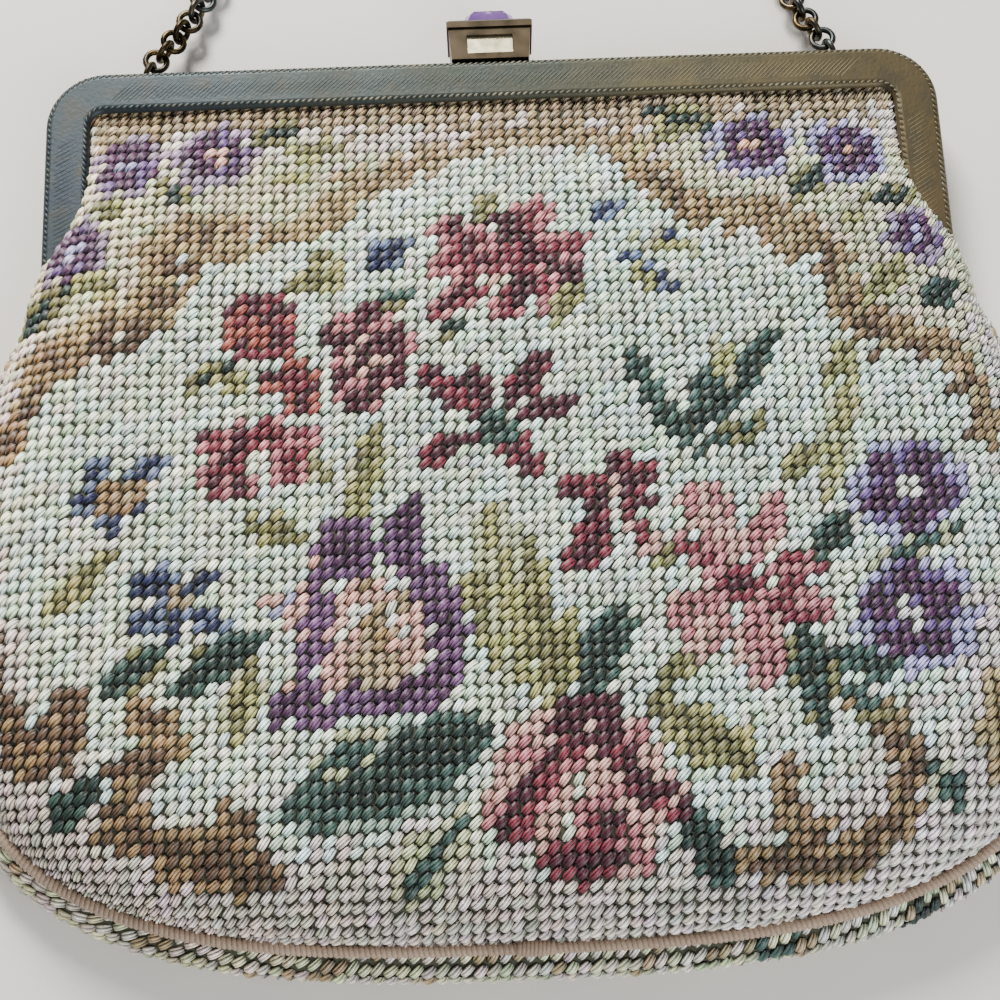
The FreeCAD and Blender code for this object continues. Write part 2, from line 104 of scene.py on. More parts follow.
class Shade:
    """One socket of a finish, with arithmetic, and a method that adds any other node."""

    def __init__(self, tree, socket=None):
        self.tree = tree
        self.socket = socket

    def node(self, kind, settings=None, sockets=None, take=0):
        made = self.tree.nodes.new(kind)
        for key, value in (settings or {}).items():
            if key == "stops":
                ramp = made.color_ramp
                ramp.elements[0].position = value[0][0]
                ramp.elements[1].position = value[-1][0]
                for place, colour in value[1:-1]:
                    ramp.elements.new(place)
                for stop, (place, colour) in zip(ramp.elements, value):
                    stop.color = (*colour, 1)
            else:
                setattr(made, key, value)
        for key, value in (sockets or {}).items():
            if isinstance(value, Shade):
                self.tree.links.new(value.socket, made.inputs[key])
            else:
                made.inputs[key].default_value = value
        return Shade(self.tree, made.outputs[take])

    def noise(self, scale, **sockets):
        return self.node("ShaderNodeTexNoise", None, {"Vector": self, "Scale": scale, **sockets})

    def stripes(self, direction, scale, **sockets):
        return self.node("ShaderNodeTexWave", {"bands_direction": direction},
                         {"Vector": self, "Scale": scale, **sockets})

    def ramp(self, *stops):
        return self.node("ShaderNodeValToRGB", {"stops": stops}, {"Fac": self})

    def part(self, number):
        return self.node("ShaderNodeSeparateXYZ", None, {0: self}, number)

    def brightened(self, value):
        return self.node("ShaderNodeHueSaturation", None, {"Color": self, "Value": value})

    def bump(self, strength, distance):
        return self.node("ShaderNodeBump", None, {"Strength": strength, "Distance": distance, "Height": self})

    def mix(self, factor, one, other):
        one = one if isinstance(one, Shade) else (*one, 1)
        other = other if isinstance(other, Shade) else (*other, 1)
        return self.node("ShaderNodeMix", {"data_type": "RGBA"}, {0: factor, 6: one, 7: other}, 2)

    def maths(self, operation, first, second):
        return self.node("ShaderNodeMath", {"operation": operation}, {0: first, 1: second})

    def __add__(self, other):
        return self.maths("ADD", self, other)

    def __sub__(self, other):
        return self.maths("SUBTRACT", self, other)

    def __mul__(self, other):
        return self.maths("MULTIPLY", self, other)

    def __pow__(self, other):
        return self.maths("POWER", self, other)

    def __radd__(self, other):
        return self.maths("ADD", other, self)

    def __rsub__(self, other):
        return self.maths("SUBTRACT", other, self)

    def __rmul__(self, other):
        return self.maths("MULTIPLY", other, self)


def finish(name, **steady):
    """A new finish: the material, its Object coordinates to build on, and a way to feed the shader."""
    material = bpy.data.materials.new(name)
    material.use_nodes = True
    tree = material.node_tree
    shader = tree.nodes["Principled BSDF"]
    for key, value in steady.items():
        shader.inputs[key.replace("_", " ")].default_value = value

    def feed(**sockets):
        for key, value in sockets.items():
            tree.links.new(value.socket, shader.inputs[key.replace("_", " ")])

    return material, Shade(tree).node("ShaderNodeTexCoord", take=3), feed


def dye(red, green, blue):
    return (red ** 2.2, green ** 2.2, blue ** 2.2)


table_finish, place, feed = finish("table_paint", Roughness=0.6)
grain = place.noise(35.0, Detail=3.0)
feed(Base_Color=place.mix(grain, dye(0.86, 0.83, 0.79), dye(0.89, 0.87, 0.84)))
bpy.ops.mesh.primitive_plane_add(size=3.0, location=(0, 0, 0))
table = bpy.context.object
table.name = "table"
table.data.materials.append(table_finish)

# ---------------------------------------------------------------- chain
# A chain of round brass rings, each bent from wire and closed through the next. It runs from the
# left end ring to the right one and lies slack on the table in a loose double loop.
RING_ACROSS = 0.0048
RING_WIRE = 0.0011
LINK_PITCH = 0.00255
lug_z = 0.00465
lie_z = 0.0024
CHAIN_ROUTE = [
    (-0.0587, 0.0516, lug_z), (-0.0505, 0.0625, 0.0032), (-0.0465, 0.0790, lie_z),
    (-0.0505, 0.0975, lie_z), (-0.0485, 0.1165, lie_z), (-0.0355, 0.1310, lie_z),
    (-0.0175, 0.1280, lie_z), (-0.0085, 0.1130, lie_z), (-0.0065, 0.0965, lie_z),
    (0.0030, 0.0830, lie_z), (0.0195, 0.0800, lie_z), (0.0315, 0.0915, lie_z),
    (0.0330, 0.1090, lie_z), (0.0395, 0.1260, lie_z), (0.0570, 0.1315, lie_z),
    (0.0705, 0.1200, lie_z), (0.0705, 0.1020, lie_z), (0.0615, 0.0860, lie_z),
    (0.0525, 0.0715, lie_z), (0.0535, 0.0600, 0.0034), (0.0587, 0.0516, lug_z),
]


def plain_mesh(thing):
    """What an object's modifiers or curve make, as a mesh of its own."""
    bpy.context.view_layer.update()
    seen = thing.evaluated_get(bpy.context.evaluated_depsgraph_get())
    return bpy.data.meshes.new_from_object(seen)


def new_piece(name, mesh, material=None):
    thing = bpy.data.objects.new(name, mesh)
    bpy.context.scene.collection.objects.link(thing)
    if material:
        mesh.materials.clear()
        mesh.materials.append(material)
    return thing


def smooth_line(name, points):
    """Points along the smooth spline that has these control points."""
    curve = bpy.data.curves.new(name, "CURVE")
    curve.dimensions = "3D"
    spline = curve.splines.new("NURBS")
    spline.points.add(len(points) - 1)
    for knot, (x, y, z) in zip(spline.points, points):
        knot.co = (x, y + hinge_y, z, 1)
    spline.order_u = 3
    spline.use_endpoint_u = True
    spline.resolution_u = 16
    holder = new_piece(name, curve)
    line = plain_mesh(holder)
    places = np.array([v.co[:] for v in line.vertices])
    bpy.data.objects.remove(holder)
    return places


def length_of(line):
    return float(np.linalg.norm(np.diff(line, axis=0), axis=1).sum())


def along_line(line, distances):
    """Places and directions at these distances along a line."""
    steps = np.linalg.norm(np.diff(line, axis=0), axis=1)
    reach = np.concatenate([[0], np.cumsum(steps)])

    def places_at(distance):
        return np.stack([np.interp(distance, reach, line[:, k]) for k in range(3)], 1)

    a_little = 2e-4
    way = places_at(distances + a_little) - places_at(distances - a_little)
    return places_at(distances), way / np.linalg.norm(way, axis=1, keepdims=True)


def setting_tree():
    """Sets one copy of a piece on every point, turned and sized as the point says."""
    tree = bpy.data.node_groups.new("set_on_points", "GeometryNodeTree")
    for socket, kind in (
        ("Points", "NodeSocketGeometry"),
        ("Piece", "NodeSocketObject"),
        ("Unevenness", "NodeSocketFloat"),
        ("Seed", "NodeSocketInt"),
        ("Finish", "NodeSocketMaterial"),
    ):
        tree.interface.new_socket(socket, in_out="INPUT", socket_type=kind)
    tree.interface.new_socket("Pieces", in_out="OUTPUT", socket_type="NodeSocketGeometry")
    add = tree.nodes.new
    given = add("NodeGroupInput")
    result = add("NodeGroupOutput")
    named = {}
    for key in ("along", "up", "size"):
        named[key] = add("GeometryNodeInputNamedAttribute")
        named[key].data_type = "FLOAT_VECTOR"
        named[key].inputs["Name"].default_value = key
    turn = add("FunctionNodeAxesToRotation")
    turn.primary_axis = "X"
    turn.secondary_axis = "Z"
    piece = add("GeometryNodeObjectInfo")
    least, most, sized = (add("ShaderNodeVectorMath") for _ in range(3))
    for node, operation in ((least, "SUBTRACT"), (most, "ADD"), (sized, "MULTIPLY")):
        node.operation = operation
        node.inputs[0].default_value = (1, 1, 1)
    chance = add("FunctionNodeRandomValue")
    chance.data_type = "FLOAT_VECTOR"
    copies = add("GeometryNodeInstanceOnPoints")
    real = add("GeometryNodeRealizeInstances")
    paint = add("GeometryNodeSetMaterial")
    for source, out, target, into in (
        (given, "Points", copies, "Points"),
        (given, "Piece", piece, "Object"),
        (piece, "Geometry", copies, "Instance"),
        (named["along"], "Attribute", turn, 0),
        (named["up"], "Attribute", turn, 1),
        (turn, 0, copies, "Rotation"),
        (given, "Unevenness", least, 1),
        (given, "Unevenness", most, 1),
        (least, 0, chance, "Min"),
        (most, 0, chance, "Max"),
        (given, "Seed", chance, "Seed"),
        (named["size"], "Attribute", sized, 0),
        (chance, "Value", sized, 1),
        (sized, 0, copies, "Scale"),
        (copies, "Instances", real, "Geometry"),
        (real, "Geometry", paint, "Geometry"),
        (given, "Finish", paint, "Material"),
        (paint, "Geometry", result, "Pieces"),
    ):
        tree.links.new(source.outputs[out], target.inputs[into])
    return tree


set_on_points = setting_tree()


def set_out(name, places, along, up, piece, material, size=(1, 1, 1), uneven=0.0, seed=1, wool=None):
    """Copies of a small mesh on many places, as one plain mesh object."""
    count = len(places)
    spots = bpy.data.meshes.new(name + "_places")
    spots.vertices.add(count)
    spots.vertices.foreach_set("co", np.asarray(places, np.float32).ravel())
    for key, value in (("along", along), ("up", up), ("size", size)):
        layer = spots.attributes.new(key, "FLOAT_VECTOR", "POINT")
        each = np.broadcast_to(np.asarray(value, np.float32), (count, 3))
        layer.data.foreach_set("vector", each.ravel())
    if wool is not None:
        layer = spots.attributes.new("wool", "FLOAT_COLOR", "POINT")
        layer.data.foreach_set("color", np.c_[wool, np.ones(count)].astype(np.float32).ravel())
    holder = new_piece(name + "_holder", spots)
    pattern = bpy.data.objects.new(name + "_pattern", piece)
    modifier = holder.modifiers.new("set", "NODES")
    modifier.node_group = set_on_points
    values = {"Piece": pattern, "Unevenness": uneven, "Seed": seed, "Finish": material}
    for item in set_on_points.interface.items_tree:
        if item.in_out == "INPUT" and item.name in values:
            modifier[item.identifier] = values[item.name]
    mesh = plain_mesh(holder)
    for key in ("along", "up", "size"):
        if key in mesh.attributes:
            mesh.attributes.remove(mesh.attributes[key])
    holder.modifiers.remove(modifier)
    bpy.data.objects.remove(holder)
    bpy.data.objects.remove(pattern)
    return new_piece(name, mesh)


def small_mesh(name, points, faces):
    mesh = bpy.data.meshes.new(name)
    mesh.from_pydata(points, [], faces, shade_flat=False)
    return mesh


def wire_ring(name, radius, wire, round_steps, wire_steps):
    """A ring of round wire, flat in X and Y."""
    points = []
    faces = []
    for i in range(round_steps):
        turn = 2 * math.pi * i / round_steps
        for j in range(wire_steps):
            around = 2 * math.pi * j / wire_steps
            reach = radius + wire * math.cos(around)
            points.append((reach * math.cos(turn), reach * math.sin(turn), wire * math.sin(around)))
            ni = (i + 1) % round_steps
            nj = (j + 1) % wire_steps
            faces.append((i * wire_steps + j, ni * wire_steps + j, ni * wire_steps + nj, i * wire_steps + nj))
    return small_mesh(name, points, faces)


chain_brass, place, feed = finish("old_chain_brass", Metallic=1.0)
worn = place.noise(420.0, Detail=4.0)
worn = worn.ramp(
    (0.42, dye(0.16, 0.14, 0.11)), (0.60, dye(0.32, 0.27, 0.19)), (0.76, dye(0.66, 0.55, 0.35)),
)
cold = place.noise(90.0, Detail=2.0)
cold = cold.ramp((0.5, (0, 0, 0)), (0.7, (0.5, 0.5, 0.5)))
feed(Base_Color=place.mix(cold, worn, dye(0.33, 0.37, 0.38)))
rough = place.noise(900.0, Detail=2.0)
feed(Roughness=rough * 0.3 + 0.22)
feed(Normal=rough.bump(0.25, 0.0001))

chain_line = smooth_line("chain_route", CHAIN_ROUTE)
chain_reach = length_of(chain_line)
link_count = 2 * round((chain_reach - 0.0004) / LINK_PITCH / 2) + 1
link_spots = np.linspace(0.0002, chain_reach - 0.0002, link_count)
link_places, link_way = along_line(chain_line, link_spots)
hand = np.random.default_rng(11)
link_turns = np.where(np.arange(link_count) % 2 == 0, 0.15, 1.45) + hand.normal(0, 0.16, link_count)
side = np.cross(link_way, (0, 0, 1))
side /= np.linalg.norm(side, axis=1, keepdims=True)
above = np.cross(side, link_way)
link_up = above * np.cos(link_turns)[:, None] + side * np.sin(link_turns)[:, None]
link_places[:, 2] += 0.0001
ring = wire_ring("chain_ring", (RING_ACROSS - RING_WIRE) / 2, RING_WIRE / 2, 18, 8)
chain = set_out("ring_chain", link_places, link_way, link_up, ring, chain_brass, uneven=0.02, seed=5)
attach(chain, "handle")
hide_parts("handle_chain")


def plate_node(material, *names):
    """Gives CAD nodes their finish."""
    for name in names:
        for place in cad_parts[name].material_slots:
            place.material = material


plate_node(chain_brass, "end_ring_left", "end_ring_right", "chain_lug_left", "chain_lug_right")

# ---------------------------------------------------------------- purse frame
# Two three sided arches of pressed bronze sheet, front and back, folded into a channel and riveted
# together at the foot of each arm. The patina runs from blue grey on the left to olive gold.
frame_bronze, place, feed = finish("aged_frame_bronze", Metallic=0.7)
across = place.part(0) * 5.6 + 0.5
patch = place.noise(55.0, Detail=5.0, Roughness=0.6)
patina = (across + (patch - 0.5) * 0.7).ramp(
    (0.0, dye(0.17, 0.195, 0.22)), (0.25, dye(0.20, 0.225, 0.23)), (0.5, dye(0.205, 0.22, 0.195)),
    (0.75, dye(0.31, 0.285, 0.21)), (1.0, dye(0.33, 0.285, 0.20)),
)
dark = place.noise(260.0, Detail=4.0)
dark = dark.ramp((0.36, (1, 1, 1)), (0.52, (0, 0, 0)))
feed(Base_Color=place.mix(dark * 0.45, patina, dye(0.24, 0.23, 0.20)))
feed(Roughness=patch * 0.35 + 0.30)
scuff = place.noise(1500.0, Detail=2.0)
feed(Normal=scuff.bump(0.35, 0.0001))
plate_node(frame_bronze, "front_frame", "back_frame", "hinge_pin_left", "hinge_pin_right", "hinge_washers")

front_face_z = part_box("front_frame")[1].z
back_face_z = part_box("back_frame")[0].z
BAR = 0.0076
CORNER = 0.010
BEAD_PITCH = 0.00105
ROPE_BEAD = (0.00122, 0.00050, 0.00016)
ROPE_SLANT = math.radians(32)
RIDGE_PITCH = 0.0008
RIDGE_WIDE = 0.00048
RIDGE_HIGH = 0.00013
frame_out = 0.076
frame_top = hinge_y + 0.046


def arch_line(inset, foot):
    """A line round the arch, in from its outer edge, from the left foot to the right one."""
    radius = CORNER - inset if inset < 0.007 else 0.003
    out = frame_out - inset
    top = frame_top - inset
    points = [(-out, hinge_y + foot)]
    for k in range(13):
        turn = math.pi / 2 * k / 12
        points.append((-out + radius - radius * math.cos(turn), top - radius + radius * math.sin(turn)))
    half = np.array(points)
    other = half[::-1] * (-1, 1)
    return np.c_[np.r_[half, other], np.zeros(2 * len(half))]


def turned(way, angle):
    """Level directions turned by an angle, to the left where it is more than 0."""
    return way * math.cos(angle) + np.cross((0, 0, 1), way) * math.sin(angle)


def low_bead(name, long_steps, round_steps):
    """A closed rice grain, one unit long, wide and high, its foot on the plate."""
    points = [(-0.5, 0, 0)]
    faces = []
    for i in range(1, long_steps):
        turn = math.pi * i / long_steps
        for j in range(round_steps):
            around = 2 * math.pi * j / round_steps
            swell = math.sin(turn) ** 0.8
            points.append((-0.5 * math.cos(turn), 0.5 * swell * math.cos(around), swell * math.sin(around)))
    points.append((0.5, 0, 0))
    last = len(points) - 1
    for j in range(round_steps):
        n = (j + 1) % round_steps
        faces.append((0, 1 + n, 1 + j))
        end = last - round_steps
        faces.append((last, end + j, end + n))
        for i in range(long_steps - 2):
            a = 1 + i * round_steps
            faces.append((a + j, a + n, a + round_steps + n, a + round_steps + j))
    return small_mesh(name, points, faces)


# The rope that edges both faces: slanted beads struck into the sheet, along the outer and inner edges.
# Between them the face is engine turned with fine slanted ridges, worn away at the corners.
rope_bronze, place, feed = finish("rope_edge_bronze", Metallic=0.7)
across = place.part(0) * 5.6 + 0.5
rubbed_and_glints = place.noise(150.0, Detail=4.0)
patina = across.ramp(
    (0.0, dye(0.19, 0.23, 0.25)), (0.45, dye(0.26, 0.27, 0.24)), (1.0, dye(0.34, 0.30, 0.21)),
)
# The lighter patches are rubbed metal on the raised beads and partly painted glints.
rubbed_and_glints = rubbed_and_glints.ramp((0.45, (0, 0, 0)), (0.65, (0.7, 0.7, 0.7)))
feed(Base_Color=place.mix(rubbed_and_glints, patina, dye(0.42, 0.41, 0.35)))
feed(Roughness=place.noise(300.0) * 0.3 + 0.38)

bead = low_bead("rope_bead", 5, 6)
ridge = low_bead("turned_ridge", 4, 4)
hand = np.random.default_rng(21)
for half, face_z, outwards, body in (
    ("front", front_face_z, 1, "front_half"),
    ("back", back_face_z, -1, "bag"),
):
    rope_places = []
    rope_way = []
    for inset in (0.00085, BAR - 0.0008):
        line = arch_line(inset, 0.002)
        places, way = along_line(line, np.arange(0.0005, length_of(line), BEAD_PITCH))
        places[:, 2] = face_z - 0.00008 * outwards
        rope_places.append(places)
        rope_way.append(way)
    places = np.concatenate(rope_places)
    way = np.concatenate(rope_way)
    rope = set_out(half + "_rope_edge", places, turned(way, ROPE_SLANT), (0, 0, outwards), bead, rope_bronze,
                   size=ROPE_BEAD, uneven=0.12, seed=3)
    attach(rope, body)

    line = arch_line(BAR / 2, 0.002)
    places, way = along_line(line, np.arange(0.001, length_of(line), RIDGE_PITCH))
    places[:, 2] = face_z - 0.00006 * outwards
    from_corner = np.hypot(abs(places[:, 0]) - frame_out + 0.005, places[:, 1] - frame_top + 0.005)
    kept = from_corner > 0.0065 + hand.uniform(0, 0.003, len(places))
    places = places[kept]
    way = way[kept]
    on_bar = abs(way[:, 0]) > 0.7
    grain_way = np.where(on_bar[:, None], (0.72, 0.70, 0), (0.86, 0.52, 0))
    grain_long = np.where(on_bar, 0.0066, 0.0058) * hand.uniform(0.9, 1.0, len(places))
    grain_size = np.c_[grain_long, np.full(len(places), RIDGE_WIDE), np.full(len(places), RIDGE_HIGH)]
    turned_face = set_out(half + "_turned_face", places, grain_way, (0, 0, outwards), ridge, frame_bronze,
                          size=grain_size, uneven=0.15, seed=4)
    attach(turned_face, body)

# ---------------------------------------------------------------- packing
# Two lengths of twisted brown paper cord, one for each half of the frame. They are pressed into the
# channels over the edge of canvas and lining, and hold the cloth there without a stitch.
paper, place, feed = finish("twisted_paper", Roughness=0.9)
twist = place.stripes("DIAGONAL", 320.0, Distortion=2.0)
# Painted shade: the twist's stripes darken the cord in its grooves and lighten it on its ridges, as in the
# bump.
feed(Base_Color=place.mix(twist, dye(0.46, 0.38, 0.28), dye(0.66, 0.58, 0.46)))
feed(Normal=twist.bump(0.4, 0.0001))
plate_node(paper, "back_channel_packing", "front_channel_packing")

# ---------------------------------------------------------------- how the canvas lies
# Penelope canvas with 13 holes to the inch, cut to the bag's outline, crowned over the filling at the
# front and flat where the back lies on the table. Places are in millimetres from the hinge line.
HOLE = 25.4 / 13
FRONT_HOLES = (46, 75)
BACK_HOLES = (50, 78)
INNER_EDGE = 38.4
CROWN = 16.2
CLOTH_EDGE_Z = 9.4
CROWN_Y = -14.0
FULLEST = -50.0
BAG_HALF = 86.0
SEAM_DROP = 101.5

side_y = np.linspace(INNER_EDGE, FULLEST, 220)
below_hinge = BAG_HALF - 7.6 * (np.clip(side_y - FULLEST, 0, 50) / 50) ** 2.2
over_arm = np.interp(side_y, (0, 4, 8, 12, 16, 20, 24, 39), (78.4, 77.3, 75.3, 72.9, 70.5, 68.9, 68.1, 68.0))
side_x = np.where(side_y < 0, below_hinge, over_arm)
round_turn = np.linspace(0, math.pi / 2, 260)[1:]
round_x = BAG_HALF * np.cos(round_turn).clip(0) ** (2 / 3)
round_y = FULLEST - (SEAM_DROP + FULLEST) * np.sin(round_turn) ** (2 / 3)
outline = np.r_[np.c_[side_x, side_y], np.c_[round_x, round_y]]
outline = np.r_[outline, (outline * (-1, 1))[::-1][1:]]
outline_way = np.gradient(outline, axis=0)
outline_way /= np.linalg.norm(outline_way, axis=1, keepdims=True)
outline_out = np.c_[-outline_way[:, 1], outline_way[:, 0]]


def crown_height(y):
    rise = np.clip((INNER_EDGE - y) / (INNER_EDGE - CROWN_Y), 0, 1)
    fuller = 2.0 * np.clip((CROWN_Y - y) / 60, 0, 1)
    return CLOTH_EDGE_Z + (CROWN - CLOTH_EDGE_Z) * np.sin(rise * math.pi / 2) + fuller


ramp_y = np.linspace(INNER_EDGE + 8, CROWN_Y, 500)
ramp_steps = np.hypot(np.diff(ramp_y), np.diff(crown_height(ramp_y)))
ramp_reach = np.concatenate([[0], np.cumsum(ramp_steps)])
ramp_reach -= np.interp(INNER_EDGE, ramp_y[::-1], ramp_reach[::-1])

RIM = 23.0
rim_turn = np.linspace(0, math.pi / 2, 120)
rim_in = RIM * (1 - np.cos(rim_turn) ** 0.9)
rim_up = np.sin(rim_turn) ** 0.95
rim_reach = np.concatenate([[0], np.cumsum(np.hypot(np.diff(rim_in), np.diff(rim_up) * 9.3))])


def nearest_edge(places):
    """For flat places: the nearest point of the outline, the way out there, and how far in they are."""
    nearest = np.empty(len(places), int)
    for start in range(0, len(places), 2000):
        part = places[start:start + 2000]
        gap = ((part[:, None, :] - outline[None, :, :]) ** 2).sum(2)
        nearest[start:start + 2000] = gap.argmin(1)
    edge = outline[nearest]
    out = outline_out[nearest]
    return edge, out, -((places - edge) * out).sum(1)


def lay_front(col, row):
    """Where a place of the front canvas, counted in holes from its top middle, lies on the bag."""
    down = row * HOLE
    y = np.interp(down, ramp_reach, ramp_y)
    y = np.where(down > ramp_reach[-1], CROWN_Y - (down - ramp_reach[-1]), y)
    flat = np.c_[col * HOLE, y]
    edge, out, inside = nearest_edge(flat)
    reach = inside + rim_reach[-1] - RIM
    moved_in = np.where(reach > rim_reach[-1], inside, np.interp(reach, rim_reach, rim_in))
    rise = np.interp(reach, rim_reach, rim_up)
    plan = flat + out * (inside - moved_in)[:, None]
    edge_z = np.interp(plan[:, 1], (-4, 0, 4, 8, 20, 24, 30, 40), (7.2, 7.6, 9.6, 11.9, 11.9, 10.9, 9.4, 9.4))
    z = edge_z + (crown_height(plan[:, 1]) - edge_z) * rise + np.clip(reach, -2, 0)
    soft = rise ** 2
    x, y = plan.T
    z += soft * 0.45 * np.sin(x / 9.1 + 1.3) * np.sin(y / 11.3 + 0.4)
    z += soft * 0.30 * np.sin(x / 5.2 + y / 17.0 + 2.0) * np.sin(y / 6.7 - x / 23.0)
    return np.c_[x, y, z], reach


BACK_CURL = ((0.0, -0.5, 7.5), (2.1, 1.7, 7.05), (4.1, 3.4, 5.8), (5.8, 4.0, 4.0), (7.4, 3.6, 2.5),
             (9.6, 1.8, 1.5), (12.4, -0.9, 1.05), (20.0, -8.4, 0.95))


def lay_back(col, row):
    """The same for the back canvas, which curls under from the seam and lies flat."""
    flat = np.c_[col * HOLE, INNER_EDGE - row * HOLE]
    edge, out, inside = nearest_edge(flat)
    reach = inside + 11.6
    curl_reach, curl_out, curl_z = np.array(BACK_CURL).T
    bulge = (2.9 + 2.1 * np.clip(-out[:, 1], 0, 1)) / 4.0 * np.clip((4 - edge[:, 1]) / 14, 0, 1)
    moved = np.interp(reach, curl_reach, curl_out)
    moved = np.where(moved > 0, moved * bulge, moved)
    moved = np.where(reach > 20, -inside, moved)
    plan = flat + out * (inside + moved)[:, None]
    low = np.interp(plan[:, 1], (8, 24, 39), (0.95, 1.8, 3.6))
    edge_z = np.interp(plan[:, 1], (-4, 2, 8, 20, 26), (6.9, 6.0, 2.2, 2.2, 3.9))
    drop = (np.interp(reach, curl_reach, curl_z) - 0.95) / 6.05
    z = low + (edge_z - low) * drop + np.clip(-reach, 0, 2)
    return np.c_[plan, z], reach


def in_metres(places):
    return places / 1000 + (0, hinge_y, 0)


def run_of_threads(lay, col, row):
    """Which way the columns' width and the rows' height run at places of the canvas."""
    across = lay(col + 0.3, row)[0] - lay(col - 0.3, row)[0]
    upward = lay(col, row - 0.3)[0] - lay(col, row + 0.3)[0]
    return across, upward


def canvas_sheet(name, lay, painted_hole_shade, offset, material):
    """The cells of the canvas that lie inside the cut, as one sheet, and their area when flat."""
    cols, rows = painted_hole_shade
    col, row = np.meshgrid(np.arange(-cols, cols + 1), np.arange(-1, rows + 1))
    shape = col.shape
    col = col.ravel().astype(float)
    row = row.ravel().astype(float)
    places, reach = lay(col, row)
    if offset:
        way = np.cross(*run_of_threads(lay, col, row))
        way /= np.linalg.norm(way, axis=1, keepdims=True).clip(1e-6)
        places = places + way * offset
    index = np.arange(len(col)).reshape(shape)
    corners = np.stack([index[1:, :-1], index[1:, 1:], index[:-1, 1:], index[:-1, :-1]], 2).reshape(-1, 4)
    wanted = (reach[corners] > (0.6 if offset else -0.9)).all(1)
    corners = corners[wanted]
    used, fresh = np.unique(corners, return_inverse=True)
    faces = fresh.reshape(-1, 4)
    if lay is lay_back:
        faces = faces[:, ::-1]
    mesh = small_mesh(name, in_metres(places[used]).tolist(), faces.tolist())
    return new_piece(name, mesh, material), len(corners) * (HOLE / 1000) ** 2


def cross_hinge(piece):
    """Cloth that crosses the hinge, baked in place; nothing here lets it bend."""
    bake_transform(piece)


# ---------------------------------------------------------------- lining
# Ivory satin, a front and a back seamed together. It lies just behind the canvas, held with it in the
# frame's channels at the top and in the seam under the piping.
satin, place, feed = finish("ivory_satin", Sheen_Weight=0.3)
ripple = place.noise(60.0, Detail=3.0)
weave = place.stripes("X", 700.0)
feed(Base_Color=place.mix(ripple, dye(0.74, 0.68, 0.58), dye(0.86, 0.81, 0.72)))
feed(Roughness=ripple * 0.2 + 0.28)
feed(Normal=weave.bump(0.15, 0.0001))
LINING_GAP = 1.1
front_lining, cut = canvas_sheet("front_lining", lay_front, FRONT_HOLES, -LINING_GAP, satin)
cross_hinge(front_lining)
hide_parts("front_lining_lower", "front_lining_upper")
back_lining, cut = canvas_sheet("back_lining_cloth", lay_back, BACK_HOLES, LINING_GAP, satin)
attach(back_lining, "bag")
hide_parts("back_lining")

# ---------------------------------------------------------------- canvas
# Stiff cotton canvas, which shows between the stitches; its colour is painted near black as the shade in
# those gaps. Each sheet is tucked into its channel of the frame and sewn to the other along the piping.
canvas, place, feed = finish("canvas_painted_gap_shade", Roughness=0.95)
dust = place.noise(300.0, Detail=3.0)
# Painted shade: both colours are kept near black so that the canvas stands for the shade in the gaps between
# the stitches; the dust noise only varies it.
feed(Base_Color=place.mix(dust, dye(0.18, 0.19, 0.15), dye(0.31, 0.31, 0.25)))
feed(Normal=dust.bump(0.5, 0.0002))
front_canvas, front_cut = canvas_sheet("front_canvas", lay_front, FRONT_HOLES, 0, canvas)
back_canvas, back_cut = canvas_sheet("back_canvas", lay_back, BACK_HOLES, 0, canvas)

# ---------------------------------------------------------------- needlework design
# The flowers, counted on the canvas: columns from the middle and rows from the frame. Each shape is
# named by where it grows from and to, and its yarns run from its heart to its edge.
IVORY = (
    dye(0.86, 0.89, 0.79), dye(0.82, 0.90, 0.87), dye(0.79, 0.87, 0.76),
    dye(0.86, 0.87, 0.81), dye(0.83, 0.90, 0.85),
)
TAUPE = (dye(0.83, 0.77, 0.73), dye(0.80, 0.76, 0.71), dye(0.85, 0.79, 0.78), dye(0.77, 0.75, 0.70))
OUTER = (dye(0.80, 0.78, 0.64), dye(0.77, 0.73, 0.62), dye(0.73, 0.76, 0.61), dye(0.81, 0.76, 0.67))
TAN = (dye(0.58, 0.50, 0.37), dye(0.62, 0.54, 0.41), dye(0.53, 0.46, 0.35), dye(0.61, 0.53, 0.43))
GOLD = dye(0.64, 0.56, 0.39)
OCHRE = dye(0.53, 0.43, 0.29)
UMBER = dye(0.34, 0.26, 0.19)
PLUM = dye(0.26, 0.13, 0.25)
PURPLE = dye(0.37, 0.28, 0.46)
LILAC = dye(0.60, 0.58, 0.73)
AMETHYST = dye(0.38, 0.25, 0.39)
MAUVE = dye(0.54, 0.47, 0.56)
PEACH = dye(0.80, 0.60, 0.48)
AQUA = dye(0.56, 0.64, 0.58)
BOTTLE = dye(0.11, 0.18, 0.155)
SEA = dye(0.21, 0.30, 0.27)
OLIVE = dye(0.42, 0.41, 0.25)
LIME = dye(0.60, 0.59, 0.36)
PALE_GREEN = dye(0.69, 0.70, 0.54)
MAROON = dye(0.26, 0.085, 0.14)
RED = dye(0.43, 0.16, 0.21)
RUST = dye(0.58, 0.29, 0.25)
PINK = dye(0.68, 0.41, 0.43)
BLUSH = dye(0.80, 0.61, 0.56)
NAVY = dye(0.13, 0.15, 0.27)
SLATE = dye(0.37, 0.42, 0.53)


